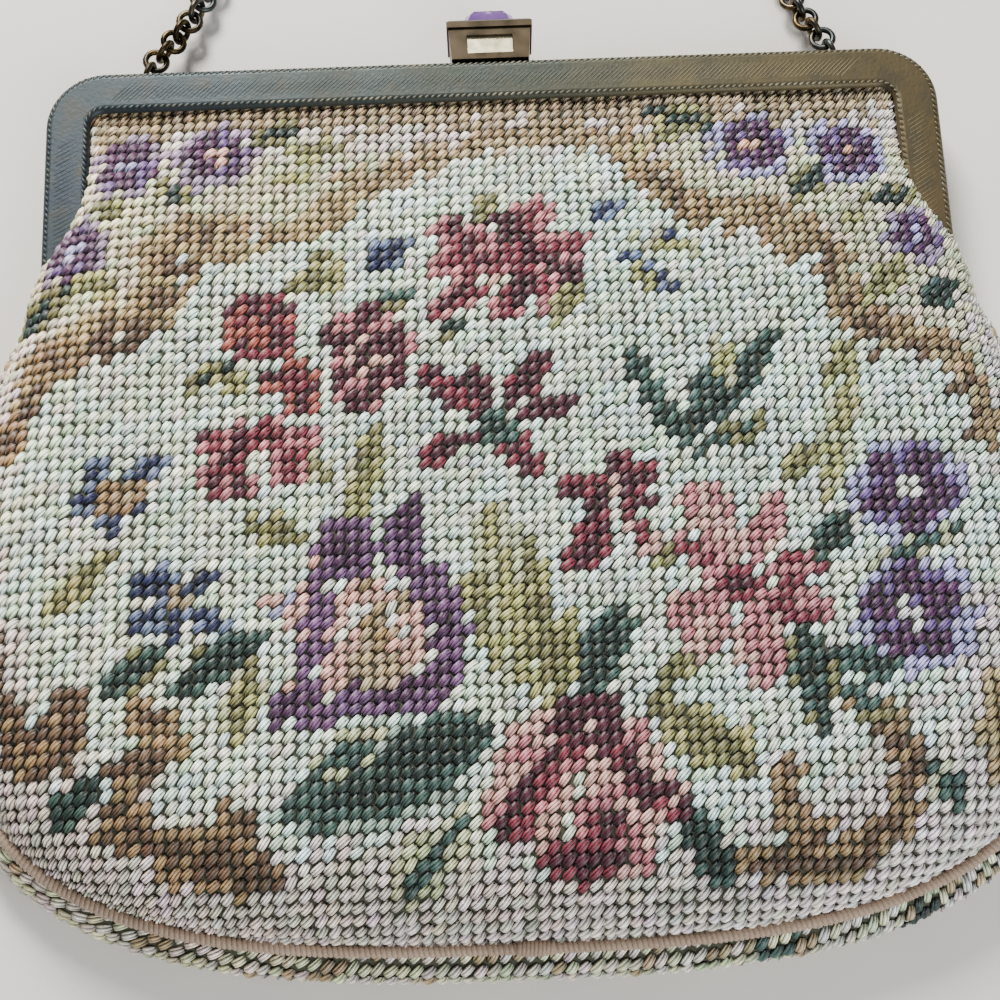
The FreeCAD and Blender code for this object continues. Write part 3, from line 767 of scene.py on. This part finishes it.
class Design:
    """A painted canvas: one yarn colour for each stitch."""

    def __init__(self, col, row, seed):
        self.col = col
        self.row = row
        self.hand = np.random.default_rng(seed)
        self.yarn = np.zeros((len(col), 3))
        self.wander = self.hand.normal(0, 0.13, len(col))

    def ground(self, where, yarns):
        picks = self.hand.integers(0, len(yarns), len(self.col))
        self.yarn[where] = np.array(yarns)[picks][where]

    def shape(self, depth, yarns):
        """depth is 0 at the heart and 1 at the edge, more outside."""
        deep = depth + self.wander
        inside = deep < 1
        step = (np.clip(deep, 0, 0.999) * len(yarns)).astype(int)
        self.yarn[inside] = np.array(yarns)[step][inside]

    def spot(self, col, row, radius, *yarns):
        self.shape(np.hypot(self.col - col, self.row - row) / radius, yarns)

    def petal(self, col, row, to_col, to_row, half, *yarns):
        """A petal or leaf from its foot to its tip, half wide at its fullest, past the middle."""
        long = math.hypot(to_col - col, to_row - row)
        way = ((to_col - col) / long, (to_row - row) / long)
        on = ((self.col - col) * way[0] + (self.row - row) * way[1]) / long
        off = abs((self.col - col) * way[1] - (self.row - row) * way[0])
        full = half * np.sin(np.clip(on, 0, 1) ** 1.2 * math.pi) ** 0.6
        depth = np.where((on > 0) & (on < 1), off / np.maximum(full, 0.05), 9)
        self.shape(depth, yarns)

    def flower(self, col, row, tips, half, yarns, heart):
        for tip_col, tip_row in tips:
            self.petal(col, row, tip_col, tip_row, half, *yarns)
        self.spot(col, row, half * 0.75, *heart)

    def ribbon(self, points, half, *yarns):
        """A band along points, its yarns from one side to the other."""
        best = np.full(len(self.col), 99.0)
        lean = np.zeros(len(self.col))
        for (c0, r0), (c1, r1) in zip(points, points[1:]):
            long = math.hypot(c1 - c0, r1 - r0)
            way = ((c1 - c0) / long, (r1 - r0) / long)
            on = np.clip((self.col - c0) * way[0] + (self.row - r0) * way[1], 0, long)
            gap = np.hypot(self.col - c0 - way[0] * on, self.row - r0 - way[1] * on)
            turn = (self.row - r0) * way[0] - (self.col - c0) * way[1]
            lean = np.where(gap < best, np.sign(turn) * gap, lean)
            best = np.minimum(best, gap)
        inside = best + self.wander * 3 < half
        step = (np.clip((lean / half + 1) / 2 + self.wander * 2, 0, 0.999) * len(yarns)).astype(int)
        self.yarn[inside] = np.array(yarns)[step][inside]

    def pansy(self, col, row, size, turn=0.3, heart=PEACH, ring=LILAC):
        self.spot(col, row, size * 1.2, PURPLE, ring, ring)
        for k in range(5):
            way = turn + k * 2 * math.pi / 5
            tip = (col + size * math.cos(way), row + size * math.sin(way))
            self.petal(col, row, *tip, size * 0.55, PLUM, PLUM, PURPLE)
        self.spot(col, row, size * 0.28, heart, heart)


def paint_front(col, row, reach):
    work = Design(col, row, 41)
    petal, spot, ribbon, flower, pansy = work.petal, work.spot, work.ribbon, work.flower, work.pansy
    arch = (
        (-42, 30), (-36, 22.5), (-32, 21.5), (-29, 19), (-28.5, 15), (-26, 13), (-20, 13.5), (-14, 12),
        (-12.5, 9), (-6.5, 6), (-1, 4.8), (5, 3.6), (11, 5.8), (13.5, 9), (17.5, 12.8), (22.5, 13),
        (26.5, 15.6), (28, 18.5), (29, 22.4), (31, 24.3), (34.5, 24.6), (37.5, 26.4), (39.5, 30),
    )
    arch_top = np.interp(col, *np.transpose(arch))
    work.ground(row > -9, IVORY)
    work.ground(row < arch_top, OUTER)
    work.ground((reach < 15 + work.wander * 20 + np.clip(col - 18, 0, 7)) & (row > 46), TAUPE)
    work.ground(row < 4.6 + work.wander * 9, TAUPE)
    work.ground(row < 2.4 + work.wander * 6, TAN)
    work.ground((reach < 7 + work.wander * 16) & (row > 20), TAUPE)
    # scrolls of the cartouche
    scroll = [
        (-41, 31), (-38, 24), (-34, 22), (-30, 21), (-28.5, 17.5), (-28.8, 14.5), (-26, 12.5), (-22, 13.2),
    ]
    ribbon(scroll, 1.7, GOLD, OCHRE, UMBER)
    ribbon([(-25, 15.4), (-20, 13.6), (-15, 12.2), (-12.6, 9.4), (-8, 6.4)], 1.4, GOLD, OCHRE, GOLD)
    ribbon([(-11, 8.6), (-6.5, 6.2), (-1, 4.6), (5, 3.6), (9, 4.2), (11, 6)], 1.2, TAN[0], OCHRE, TAN[1])
    scroll = [(11, 5.6), (13.3, 9), (17.3, 12.4), (22.4, 12.8), (26.4, 15.4), (28.2, 18.5)]
    ribbon(scroll, 1.5, OCHRE, GOLD, OCHRE)
    scroll = [(28, 17.5), (28.7, 22.4), (31, 24.6), (34.3, 25), (37.4, 27), (39.4, 31), (38.5, 33)]
    ribbon(scroll, 1.5, OCHRE, GOLD, UMBER)
    spot(24.5, 14.6, 2.3, OCHRE, GOLD, OCHRE)
    ribbon([(-29.6, 20), (-27.8, 17), (-25, 16.4)], 0.7, UMBER, OCHRE)
    ribbon([(-38, 25.4), (-33, 23.6), (-29.8, 22)], 0.9, UMBER, UMBER)
    ribbon([(27, 16.6), (27.6, 20.4), (29.4, 24)], 0.8, UMBER, OCHRE)
    ribbon([(12.4, 7.4), (15.6, 11.6)], 0.7, UMBER, OCHRE)
    spot(-28.3, 19.5, 2.4, UMBER, OCHRE, GOLD)
    spot(-37, 24.4, 2.6, UMBER, OCHRE, OCHRE)
    spot(-41.5, 31, 2.3, UMBER, UMBER, OCHRE)
    spot(-43, 37, 2.0, UMBER, OCHRE)
    scroll = [(-44, 46), (-42, 49), (-41, 54), (-38, 57), (-35, 56.6), (-34.4, 53.6)]
    ribbon(scroll, 1.7, UMBER, OCHRE, UMBER)
    scroll = [(-28.5, 54.5), (-27, 57), (-30, 60), (-30.5, 63.5), (-26, 65.5), (-21, 64.5)]
    ribbon(scroll, 1.6, OCHRE, UMBER, OCHRE)
    petal(-31, 63, -18, 67.5, 2.4, UMBER, OCHRE)
    petal(-23, 61, -20, 66.5, 1.5, OCHRE, UMBER)
    scroll = [(26, 55.5), (28.5, 57), (30.2, 60.5), (28.6, 64.5), (25, 67), (21, 64.6), (20.4, 61)]
    ribbon(scroll, 1.3, OCHRE, UMBER, OCHRE)
    petal(15, 67, 27, 67.5, 1.5, UMBER, OCHRE)
    ribbon([(39, 52), (36.5, 57), (38, 61)], 1.4, OCHRE, GOLD)
    # pansies of the top corners and the right side
    pansy(-32, 5.6, 2.9, 0.3, LILAC, MAUVE)
    pansy(-24, 4.9, 2.7, 0.8, BLUSH, MAUVE)
    pansy(-36.2, 14, 2.8, 0.5, LILAC, MAUVE)
    pansy(22.4, 5.6, 2.9, 0.1)
    pansy(30.8, 6.6, 2.9, 0.9)
    pansy(35.4, 15, 2.2, 0.4, LILAC, MAUVE)
    pansy(32, 38, 3.9, 0.2, IVORY[3])
    pansy(31.2, 48.4, 4.1, 0.9, IVORY[3])
    # leaves of the top corners
    petal(-29, 7, -26.5, 10.4, 1.4, BOTTLE, OLIVE, LIME)
    petal(-19, 7.8, -15, 6.8, 0.9, LIME, PALE_GREEN)
    petal(13, 1.4, 19.4, 3.4, 1.3, BOTTLE, OLIVE, LIME)
    petal(12.4, 5.2, 17, 3.2, 1.0, OLIVE, LIME)
    spot(12.5, 5.8, 1.6, LIME, GOLD)
    spot(30, 13.6, 1.6, LIME, PALE_GREEN)
    # red lily at the top, with its buds of blue
    lily = [(-5.6, 12.8), (-5.9, 17), (-5.6, 21.6), (3.9, 10.4), (7.8, 14.6), (5.4, 20.6), (0.4, 22.4)]
    flower(0.8, 16.2, lily, 1.9, (RED, PINK, PINK), (RED, RED))
    ribbon([(-3.8, 13.4), (-1.6, 17)], 0.9, MAROON, RED)
    ribbon([(0.4, 12.8), (2.4, 15.6), (6.2, 18)], 1.0, MAROON, MAROON)
    ribbon([(-4.6, 20.4), (-1.4, 19.2)], 0.8, MAROON, RED)
    spot(-0.4, 18.8, 1.2, BLUSH, IVORY[0])
    spot(4.2, 20.6, 1.2, BLUSH, PINK)
    spot(2, 19.2, 1.4, MAROON, MAROON)
    petal(-10.6, 20.8, -6.8, 18.8, 1.1, SEA, OLIVE)
    petal(-17.6, 18.6, -12.8, 16.8, 1.3, OLIVE, LIME)
    petal(-16.4, 15.6, -13.4, 15.8, 0.9, OLIVE, PALE_GREEN)
    petal(-11, 17.4, -7.8, 13.8, 1.5, NAVY, NAVY, SLATE)
    petal(8.2, 12.6, 10.6, 10.6, 0.9, NAVY, SLATE)
    petal(9.6, 15.8, 14.8, 19.8, 1.1, NAVY, SLATE)
    petal(12.6, 16.4, 15, 14.2, 0.9, NAVY, SLATE)
    petal(10, 14.6, 17.6, 16.2, 0.9, LIME, PALE_GREEN)
    spot(12.2, 18.6, 1.2, LIME, LIME)
    # red carnations at the left
    tips = [(-23, 20.2), (-20.6, 18.6), (-17, 20.4), (-17.8, 24), (-22.4, 24)]
    flower(-20, 22, tips, 1.8, (MAROON, RUST, RED), (MAROON, RUST))
    tips = [(-20.4, 26.6), (-17, 24.4), (-14.6, 28), (-16.4, 30.4)]
    flower(-17, 27, tips, 1.4, (MAROON, RUST, RUST), (RUST, RED))
    tips = [(-14.6, 22), (-11, 20.2), (-7.6, 22.4), (-8.4, 28), (-11.8, 30.4), (-14, 27.6)]
    flower(-11.2, 25, tips, 2.1, (MAROON, MAROON, PINK), (MAROON, BLUSH))
    tips = [(-24.6, 30.6), (-24.2, 36.4), (-21, 37.4), (-20.6, 30.6)]
    flower(-22.2, 33.6, tips, 1.5, (MAROON, RED, PINK), (MAROON, RED))
    tips = [(-19.6, 30.4), (-15.8, 31), (-14.4, 34.6), (-17.4, 36)]
    flower(-17.6, 33.2, tips, 1.4, (RED, PINK), (RED, PINK))
    petal(-12.4, 40, -10.4, 31, 1.6, OLIVE, LIME, PALE_GREEN)
    petal(-13.6, 36.8, -16, 33.4, 0.8, OLIVE, PALE_GREEN)
    # spidery maroon flower in the middle
    petal(-1.2, 30.6, -6.8, 26.4, 1.3, RED, MAROON)
    petal(-1.4, 29.8, -2.8, 26, 0.8, MAROON, MAROON)
    petal(-0.6, 30.4, 3.8, 24.6, 1.2, MAROON, MAROON, RED)
    petal(0.6, 30.8, 6.2, 29.4, 1.1, MAROON, MAROON)
    petal(-0.4, 31, 2.4, 36.2, 1.4, MAROON, RED)
    petal(-1.4, 31.6, -7.4, 34.4, 1.1, MAROON, RED)
    spot(-0.8, 31.4, 1.5, BOTTLE, SEA)
    # maroon carnation right of it
    carnation = [(8.8, 33.6), (12.2, 36), (3.4, 37.2), (5.6, 40), (12, 39.4)]
    flower(8.4, 37, carnation, 1.05, (MAROON, RED), (BLUSH, BLUSH))
    petal(7.6, 40, 4.8, 44, 1.5, MAROON, RED)
    petal(9.4, 39, 11.4, 43, 0.9, RED, BLUSH)
    petal(11.4, 44, 14, 41.4, 0.9, OLIVE, LIME)
    # dusty pink lily
    petal(18, 44.4, 14.6, 36.6, 2.2, BLUSH, PINK, BLUSH)
    petal(19, 44.2, 21.6, 37.8, 1.7, PINK, PINK, BLUSH)
    petal(19.6, 44.8, 25.4, 43.6, 1.5, PINK, RED)
    petal(19.4, 46, 24.8, 48.6, 1.8, PINK, RED, PINK)
    petal(19, 46.4, 19.4, 54.2, 2.0, PINK, PINK, BLUSH)
    petal(17.4, 46.4, 13, 51.6, 2.0, BLUSH, PINK, BLUSH)
    petal(17, 45.6, 11.6, 48.8, 1.8, PINK, PINK, BLUSH)
    petal(17.4, 44.6, 12.8, 41.6, 1.2, RED, PINK)
    spot(18.2, 45.4, 1.5, MAROON, RED)
    # plum iris
    petal(-13.4, 47.4, -20.4, 45.2, 1.5, BLUSH, LILAC, BLUSH)
    spot(-11.4, 48.6, 5.0, TAN[1], IVORY[3], BLUSH)
    spot(-11.0, 51.6, 3.4, TAN[1], TAN[3], BLUSH)
    ribbon([(-11.6, 42.4), (-10.8, 46), (-10.2, 50)], 0.6, TAN[0], OCHRE)
    ribbon([(-9.2, 43), (-8.4, 47)], 0.5, TAN[0], TAN[0])
    spot(-13.2, 41.6, 2.8, PLUM, AMETHYST, AMETHYST)
    ribbon([(-15, 43.4), (-15.8, 46.6), (-15.6, 50), (-17, 53)], 1.2, AMETHYST, AMETHYST, BLUSH)
    petal(-9.8, 43.6, -7.2, 37.2, 1.4, PLUM, AMETHYST)
    scroll = [(-8.4, 42.4), (-6.2, 45.2), (-4.9, 48.6), (-5.4, 51.6), (-7.4, 53.8)]
    ribbon(scroll, 1.5, AMETHYST, PLUM, AMETHYST)
    ribbon([(-16.4, 54.6), (-12, 54), (-7, 53.8)], 1.3, PLUM, AMETHYST, AMETHYST)
    petal(-16, 52.4, -19.4, 56, 1.3, PLUM, AMETHYST)
    spot(-9, 49.2, 0.6, SLATE, SLATE)
    # blue flowers at the left
    for tip in ((-34.4, 33.4), (-27.4, 32.8), (-28.6, 37.8), (-32, 40.4), (-35.6, 37)):
        petal(-31.2, 36, *tip, 1.0, NAVY, SLATE)
    spot(-31, 36.2, 1.7, TAN[1], OCHRE)
    for tip in ((-30.4, 43.4), (-28, 42.4), (-22.6, 43), (-22.4, 47.8), (-26.6, 49.4), (-30, 47.6)):
        petal(-26.4, 45.4, *tip, 0.9, NAVY, NAVY, SLATE)
    spot(-26.2, 45.4, 0.9, PALE_GREEN, TAN[1])
    # loose leaves all over, by their wools, and the fronds on the right
    for leaf in (
        (23.6, 57.8, 22.4, 49.2, 1.8), (-32.4, 53.4, -27.4, 49, 1.5), (-27, 53, -19.4, 48.2, 1.9),
    ):
        petal(*leaf, BOTTLE, SEA, OLIVE)
    for leaf in (
        (34.8, 22, 38.6, 19.4, 1.2), (15, 33.4, 22.8, 24, 1.2), (23.6, 43.4, 27, 40.4, 1.6),
        (23.6, 51.4, 30, 53, 1.1), (5, 54.6, 8.8, 46.6, 1.9), (-36.4, 63.4, -32.2, 58.8, 1.6),
    ):
        petal(*leaf, BOTTLE, SEA)
    for leaf in (
        (-21.5, 3.6, -16.5, 1.6, 1.0), (-42, 21.4, -36.4, 17.4, 1.6), (24.6, 11.6, 28, 8.6, 1.3),
        (31, 12, 36.6, 10.6, 1.1), (-5.6, 22.8, -2.6, 22.2, 1.1), (-26.4, 27.4, -21.6, 25.6, 1.0),
    ):
        petal(*leaf, BOTTLE, OLIVE)
    for leaf in (
        (-35, 8.6, -32, 11, 1.0), (-18, 5, -12.8, 4, 1.0), (-36.4, 16.8, -31.4, 18, 1.1),
        (29.8, 21.6, 34.4, 17.4, 1.3), (-1.6, 13.2, -0.8, 9.6, 1.2), (3.6, 22.8, 7, 19.2, 1.2),
        (-25, 25.4, -20.6, 27.6, 0.7), (26.4, 31.6, 28.4, 24.8, 1.2), (10.6, 54, 14, 50.8, 1.0),
    ):
        petal(*leaf, OLIVE, LIME)
    for leaf in ((14.2, 33.4, 17.4, 26, 1.0), (14.6, 33.8, 9.8, 24.6, 1.0)):
        petal(*leaf, SEA, BOTTLE)
    petal(15, 34.6, 21.6, 31.6, 1.0, SEA, OLIVE)
    petal(18.6, 29, 17.2, 23.8, 0.8, PALE_GREEN, LIME)
    petal(25.4, 39, 28.4, 27.6, 2.4, LIME, PALE_GREEN, IVORY[2])
    petal(21.6, 37.4, 25.6, 33.6, 1.2, OLIVE, LIME)
    petal(-21.6, 38.8, -15.6, 41, 1.3, OLIVE, OLIVE, LIME)
    petal(27.6, 44.6, 36, 41.4, 0.9, SEA, PALE_GREEN)
    petal(24.8, 53.6, 28.6, 57, 1.1, SEA, OLIVE)
    petal(2.6, 55, 0.4, 43.6, 1.8, OLIVE, LIME, PALE_GREEN)
    petal(2.8, 54.8, -3.4, 46.4, 1.5, LIME, PALE_GREEN)
    petal(3.4, 54.8, 4.2, 47, 1.2, OLIVE, LIME)
    petal(0.6, 53, -1.6, 37.6, 2.4, LIME, PALE_GREEN, PALE_GREEN)
    petal(2.4, 53, 1.6, 41, 1.1, OLIVE, LIME)
    petal(-1.6, 52, -3.2, 43, 0.9, OLIVE, LIME)
    petal(-37.4, 46.8, -31.2, 41, 1.5, OLIVE, LIME, PALE_GREEN)
    petal(-21.8, 57, -20.4, 50.4, 1.6, OLIVE, LIME, PALE_GREEN)
    # big leaves below
    petal(-18.6, 62.8, -3, 57.4, 3.9, SEA, SEA, AQUA)
    petal(-15.6, 61.8, -1.6, 56, 2.6, BOTTLE, BOTTLE, SEA)
    petal(-16.6, 60, -10.4, 56.6, 1.6, SEA, PALE_GREEN)
    petal(-4, 62.4, -9.4, 69.4, 1.9, SEA, PALE_GREEN, PALE_GREEN)
    petal(10, 54.4, 18.4, 60.6, 2.1, OLIVE, OLIVE, LIME)
    petal(11.8, 62, 15.4, 68.6, 1.6, BOTTLE, BOTTLE, SEA)
    petal(31, 60, 34.2, 63.6, 1.3, SEA, SEA, PALE_GREEN)
    # rose at the bottom
    rose = [(-3.2, 63.4), (-1.4, 57.4), (4.4, 53.6), (10, 56.4), (13, 62.4), (9.6, 67.6), (3, 68)]
    flower(4.6, 61, rose, 3.2, (PINK, BLUSH, BLUSH), (BLUSH, PINK))
    ribbon([(-0.8, 64), (1.2, 60.6), (4, 57.2), (7.2, 58), (9.4, 61.6), (12.2, 63.4)], 1.0, MAROON, RED)
    ribbon([(3.4, 56), (5.6, 54.6), (8, 56)], 0.9, MAROON, MAROON)
    petal(1.4, 66.4, 7.8, 66.8, 1.8, MAROON, RED)
    petal(5, 65.6, 7.8, 63, 1.2, MAROON, RED)
    ribbon([(2.8, 63.6), (4.8, 60.2), (7, 61)], 0.8, BLUSH, IVORY[0])
    return work


def paint_back(col, row, reach):
    work = Design(col, row, 43)
    work.ground(row > -9, (TAUPE[0], TAUPE[1], TAUPE[3], TAN[1], OUTER[0], OUTER[2]))
    scroll = [(-34, 30), (-30, 18), (-16, 10), (0, 7), (16, 10), (30, 18), (34, 30)]
    work.ribbon(scroll, 1.6, GOLD, OCHRE, UMBER)
    work.ribbon([(-30, 50), (-20, 62), (0, 67), (20, 62), (30, 50)], 1.6, UMBER, OCHRE, GOLD)
    rose = [(6 * math.cos(k * 1.05), 37 + 6 * math.sin(k * 1.05)) for k in range(6)]
    work.flower(0, 37, rose, 2.8, (RED, PINK, BLUSH), (MAROON, RED))
    for centre in ((-18, 28), (18, 28), (-17, 48), (17, 48)):
        work.pansy(*centre, 3.4)
        work.petal(centre[0] * 0.75, centre[1] + 3, centre[0] * 0.4, centre[1] + 6, 1.5, BOTTLE, OLIVE, LIME)
    for step in range(18):
        turn = step * 0.42
        near = abs(reach - 4.2 - 1.6 * math.sin(turn * 2.3))
        here = abs(np.arctan2(row - 36, col) - (turn - 5.3) * 0.6) < 0.035
        yarn = (RUST, BOTTLE, SEA, SLATE, UMBER)[step % 5]
        work.yarn[(near < 1.9) & here & (work.wander > -0.1)] = yarn
    return work


# ---------------------------------------------------------------- tent stitches
# Every stitch is three strands of wool laid slantwise over one crossing of the canvas, pulled down
# into a hole at each end. Old dye lots and wear make neighbouring stitches differ.
THREE_STRANDS = 9.42
STITCH = (2.76, 1.44, 0.95)
STITCH_SLANT = 50
STITCH_BANDS = (-2, 28, 52, 80)
wool_finish, place, feed = finish("stitched_wool", Roughness=0.48, Sheen_Weight=0.1)
yarn = place.node("ShaderNodeAttribute", {"attribute_name": "wool"})
fibre = place.noise(2600.0, Detail=2.0)
aged = place.noise(70.0, Detail=3.0)
own_place = place.node("ShaderNodeAttribute", {"attribute_name": "own_place"}, take=1)
long_way = own_place.part(0)
wide_way = own_place.part(1)
high_way = own_place.part(2)
# Painted shade and highlight: the wool is darkened in the valleys between its strands and on its low sides,
# so the top of each stitch reads lit; fibre and aged are the wool's own tone.
waves = place.maths("COSINE", (wide_way + long_way * 0.10) * THREE_STRANDS, 0)
strand = place.maths("ABSOLUTE", waves, 0) ** 1.1
# Painted shade towards both ends of each stitch, where it dives into its hole.
painted_hole_shade = 1.24 - long_way * long_way * 3.1
painted_shade_and_fibre_tone = (strand * 0.95 + 0.27) * (high_way * 0.5 + 0.58) * (fibre * 1.0 + aged * 0.35 + 0.55) * painted_hole_shade
feed(Base_Color=yarn.brightened(painted_shade_and_fibre_tone))
feed(Normal=(strand + fibre * 0.5).bump(0.9, 0.00018))


def wool_stitch(name):
    """Three strands side by side, one unit long, wide and high."""
    half = ((-0.5, 0), (-0.36, 0.74), (-0.17, 0.46), (-0.06, 1.0))
    section = (*half, *((-y, z) for y, z in half[::-1]))
    stations = ((-0.5, 0.62, 0.0), (-0.33, 0.92, 0.72), (0.0, 1.0, 1.0), (0.33, 0.92, 0.72), (0.5, 0.62, 0.0))
    points = []
    for x, wide, high in stations:
        for y, z in section:
            points.append((x, y * wide + 0.16 * x * (z - 0.3), z * high))
    faces = []
    wide = len(section)
    for i in range(len(stations) - 1):
        for j in range(wide - 1):
            a = i * wide + j
            faces.append((a, a + wide, a + wide + 1, a + 1))
        a = i * wide
        faces.append((a, a + wide - 1, a + 2 * wide - 1, a + wide))
    faces.append(tuple(range(wide)))
    end = (len(stations) - 1) * wide
    faces.append(tuple(range(end + wide - 1, end - 1, -1)))
    mesh = small_mesh(name, points, [face[::-1] for face in faces])
    own_place = mesh.attributes.new("own_place", "FLOAT_VECTOR", "POINT")
    for point, spot in zip(own_place.data, points):
        point.vector = spot
    return mesh


stitch = wool_stitch("stitch")
for panel, lay, paint, (cols, rows) in (
    ("front", lay_front, paint_front, FRONT_HOLES),
    ("back", lay_back, paint_back, BACK_HOLES),
):
    col, row = np.meshgrid(np.arange(-cols, cols) + 0.5, np.arange(-1, rows) + 0.5)
    col = col.ravel()
    row = row.ravel()
    hand = np.random.default_rng(57)
    real_col = col + hand.normal(0, 0.035, len(col))
    real_row = row + hand.normal(0, 0.035, len(row))
    places, reach = lay(real_col, real_row)
    across, upward = run_of_threads(lay, real_col, real_row)
    facing = np.cross(across, upward)
    long = np.linalg.norm(facing, axis=1)
    kept = (reach > -0.6) & (long > 1e-6)
    across /= np.linalg.norm(across, axis=1, keepdims=True).clip(1e-6)
    upward /= np.linalg.norm(upward, axis=1, keepdims=True).clip(1e-6)
    if panel == "back":
        facing = -facing
        across = -across
    facing /= long[:, None].clip(1e-6)
    slant = np.radians(STITCH_SLANT + hand.normal(0, 5, len(col)))[:, None]
    lay_way = across * np.cos(slant) + upward * np.sin(slant)
    lay_way[:, 2] += hand.normal(0, 0.04, len(col))
    work = paint(col, row, reach)
    worn = hand.normal(0, 0.14, (len(col), 1))
    dyed = hand.normal(0, 0.035, (len(col), 3))
    wool = work.yarn * np.exp(worn) * np.exp(dyed)
    cool = np.clip(col / 44, -1, 1)[:, None]
    wool = wool * (1 + cool * np.array((-0.05, 0.0, 0.06)))
    swell = hand.normal(1, 0.06, (len(col), 3))
    sizes = swell * STITCH / 1000
    for number, (first, last) in enumerate(zip(STITCH_BANDS, STITCH_BANDS[1:])):
        chosen = kept & (row > first) & (row < last)
        made = set_out(f"{panel}_stitches_{number + 1}", in_metres(places[chosen]), lay_way[chosen],
                       facing[chosen], stitch, wool_finish, size=sizes[chosen], wool=wool[chosen])
        if panel == "front":
            cross_hinge(made)
        else:
            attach(made, "bag")
    if panel == "front":
        cross_hinge(front_canvas)
        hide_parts("front_panel_lower", "front_panel_fold", "front_panel_upper")
    else:
        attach(back_canvas, "bag")
        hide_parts("back_panel")

# ---------------------------------------------------------------- piping
# A cotton cord wrapped with tan silk, sewn into the seam all round from arm to arm. Its two ends are
# lapped and bound beside the middle of the bottom.
piping_silk, place, feed = finish("tan_piping_silk", Roughness=0.55, Sheen_Weight=0.2)
faded = place.noise(110.0, Detail=3.0)
thread = place.noise(2800.0, Detail=1.0)
tan = place.mix(faded, dye(0.47, 0.38, 0.31), dye(0.70, 0.60, 0.51))
feed(Base_Color=tan.brightened(thread * 0.6 + 0.7))
feed(Normal=thread.bump(0.4, 0.0001))
PIPING_UP = 0.0079
PIPING_OUT = 1.25
TURN_PITCH = 0.0008
TURN = (0.00116, 0.00220, 0.00220)
turns = np.linspace(0, math.pi, 401)
seam_x = np.sign(np.cos(turns)) * (BAG_HALF + PIPING_OUT) * abs(np.cos(turns)) ** (2 / 3)
seam_y = FULLEST - (SEAM_DROP + PIPING_OUT + FULLEST) * np.sin(turns) ** (2 / 3)
up_side = np.linspace(-10.5, FULLEST, 60)[:-1]
arm_x = BAG_HALF + PIPING_OUT - 7.6 * ((up_side - FULLEST) / 50) ** 2.2
piping_line = np.r_[np.c_[arm_x, up_side], np.c_[seam_x, seam_y], np.c_[-arm_x, up_side][::-1]]
piping_line = np.c_[piping_line / 1000 + (0, hinge_y), np.full(len(piping_line), PIPING_UP)]
piping_reach = length_of(piping_line)
rib = low_bead("silk_turn", 4, 10)
for point in rib.vertices:
    point.co.z = point.co.z / 2
places, way = along_line(piping_line, np.arange(0.0004, piping_reach - 0.0003, TURN_PITCH))
wraps = set_out("piping_wraps", places, turned(way, 0.35), (0, 0, 1), rib, piping_silk,
                size=TURN, uneven=0.04, seed=7)
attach(wraps, "bag")
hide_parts("bottom_piping")
middle = piping_reach / 2 - 0.0015
places, way = along_line(piping_line, middle + np.linspace(-0.0024, 0.0024, 9))
places[:, 2] += 0.0003
swell = 1.0 + 0.28 * np.sin(np.linspace(0.4, math.pi - 0.4, 9))
sizes = np.c_[np.full(9, 0.0011), 0.00235 * swell, 0.0024 * swell]
binding = set_out("lapped_ends", places, turned(way, -0.15), (0, 0, 1), rib, piping_silk,
                  size=sizes, uneven=0.03, seed=8)
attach(binding, "bag")
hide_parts("piping_join")

# ---------------------------------------------------------------- clasp
# A push button clasp of dark brass on the top edge: a housing with an overhanging lip, a bright plate
# let into its front, and a square purple glass stone on the button, over two steel springs.
clasp_brass, place, feed = finish("dark_clasp_brass", Metallic=0.9)
smoke = place.noise(260.0, Detail=4.0)
feed(Base_Color=place.mix(smoke, dye(0.10, 0.09, 0.08), dye(0.30, 0.26, 0.20)))
feed(Roughness=smoke * 0.3 + 0.22)
plate_node(clasp_brass, "clasp_housing", "clasp_lip", "stone_bezel", "clasp_plunger", "catch_hook")
bright_plate, place, feed = finish("bright_pale_gold", Metallic=1.0)
brushed = place.noise(500.0, Detail=3.0)
feed(Base_Color=place.mix(brushed, dye(0.78, 0.72, 0.56), dye(0.95, 0.91, 0.78)))
feed(Roughness=brushed * 0.2 + 0.18)
plate_node(bright_plate, "clasp_front_plate")
stone_glass, place, feed = finish("purple_glass", Coat_Weight=1.0, Coat_Roughness=0.03)
cloud = place.noise(240.0, Detail=2.0)
feed(Base_Color=place.mix(cloud, dye(0.22, 0.12, 0.30), dye(0.50, 0.36, 0.62)))
feed(Roughness=cloud * 0.1 + 0.06)
plate_node(stone_glass, "clasp_stone")
spring_steel, place, feed = finish("spring_steel", Metallic=1.0)
coils = place.stripes("Y", 700.0)
# Painted shade and highlight: the stripes darken the steel between the coil turns and lighten their crests,
# as in the bump.
feed(Base_Color=place.mix(coils, dye(0.30, 0.30, 0.31), dye(0.70, 0.70, 0.72)))
feed(Roughness=coils * 0.2 + 0.2)
feed(Normal=coils.bump(0.8, 0.0003))
plate_node(spring_steel, "clasp_springs")
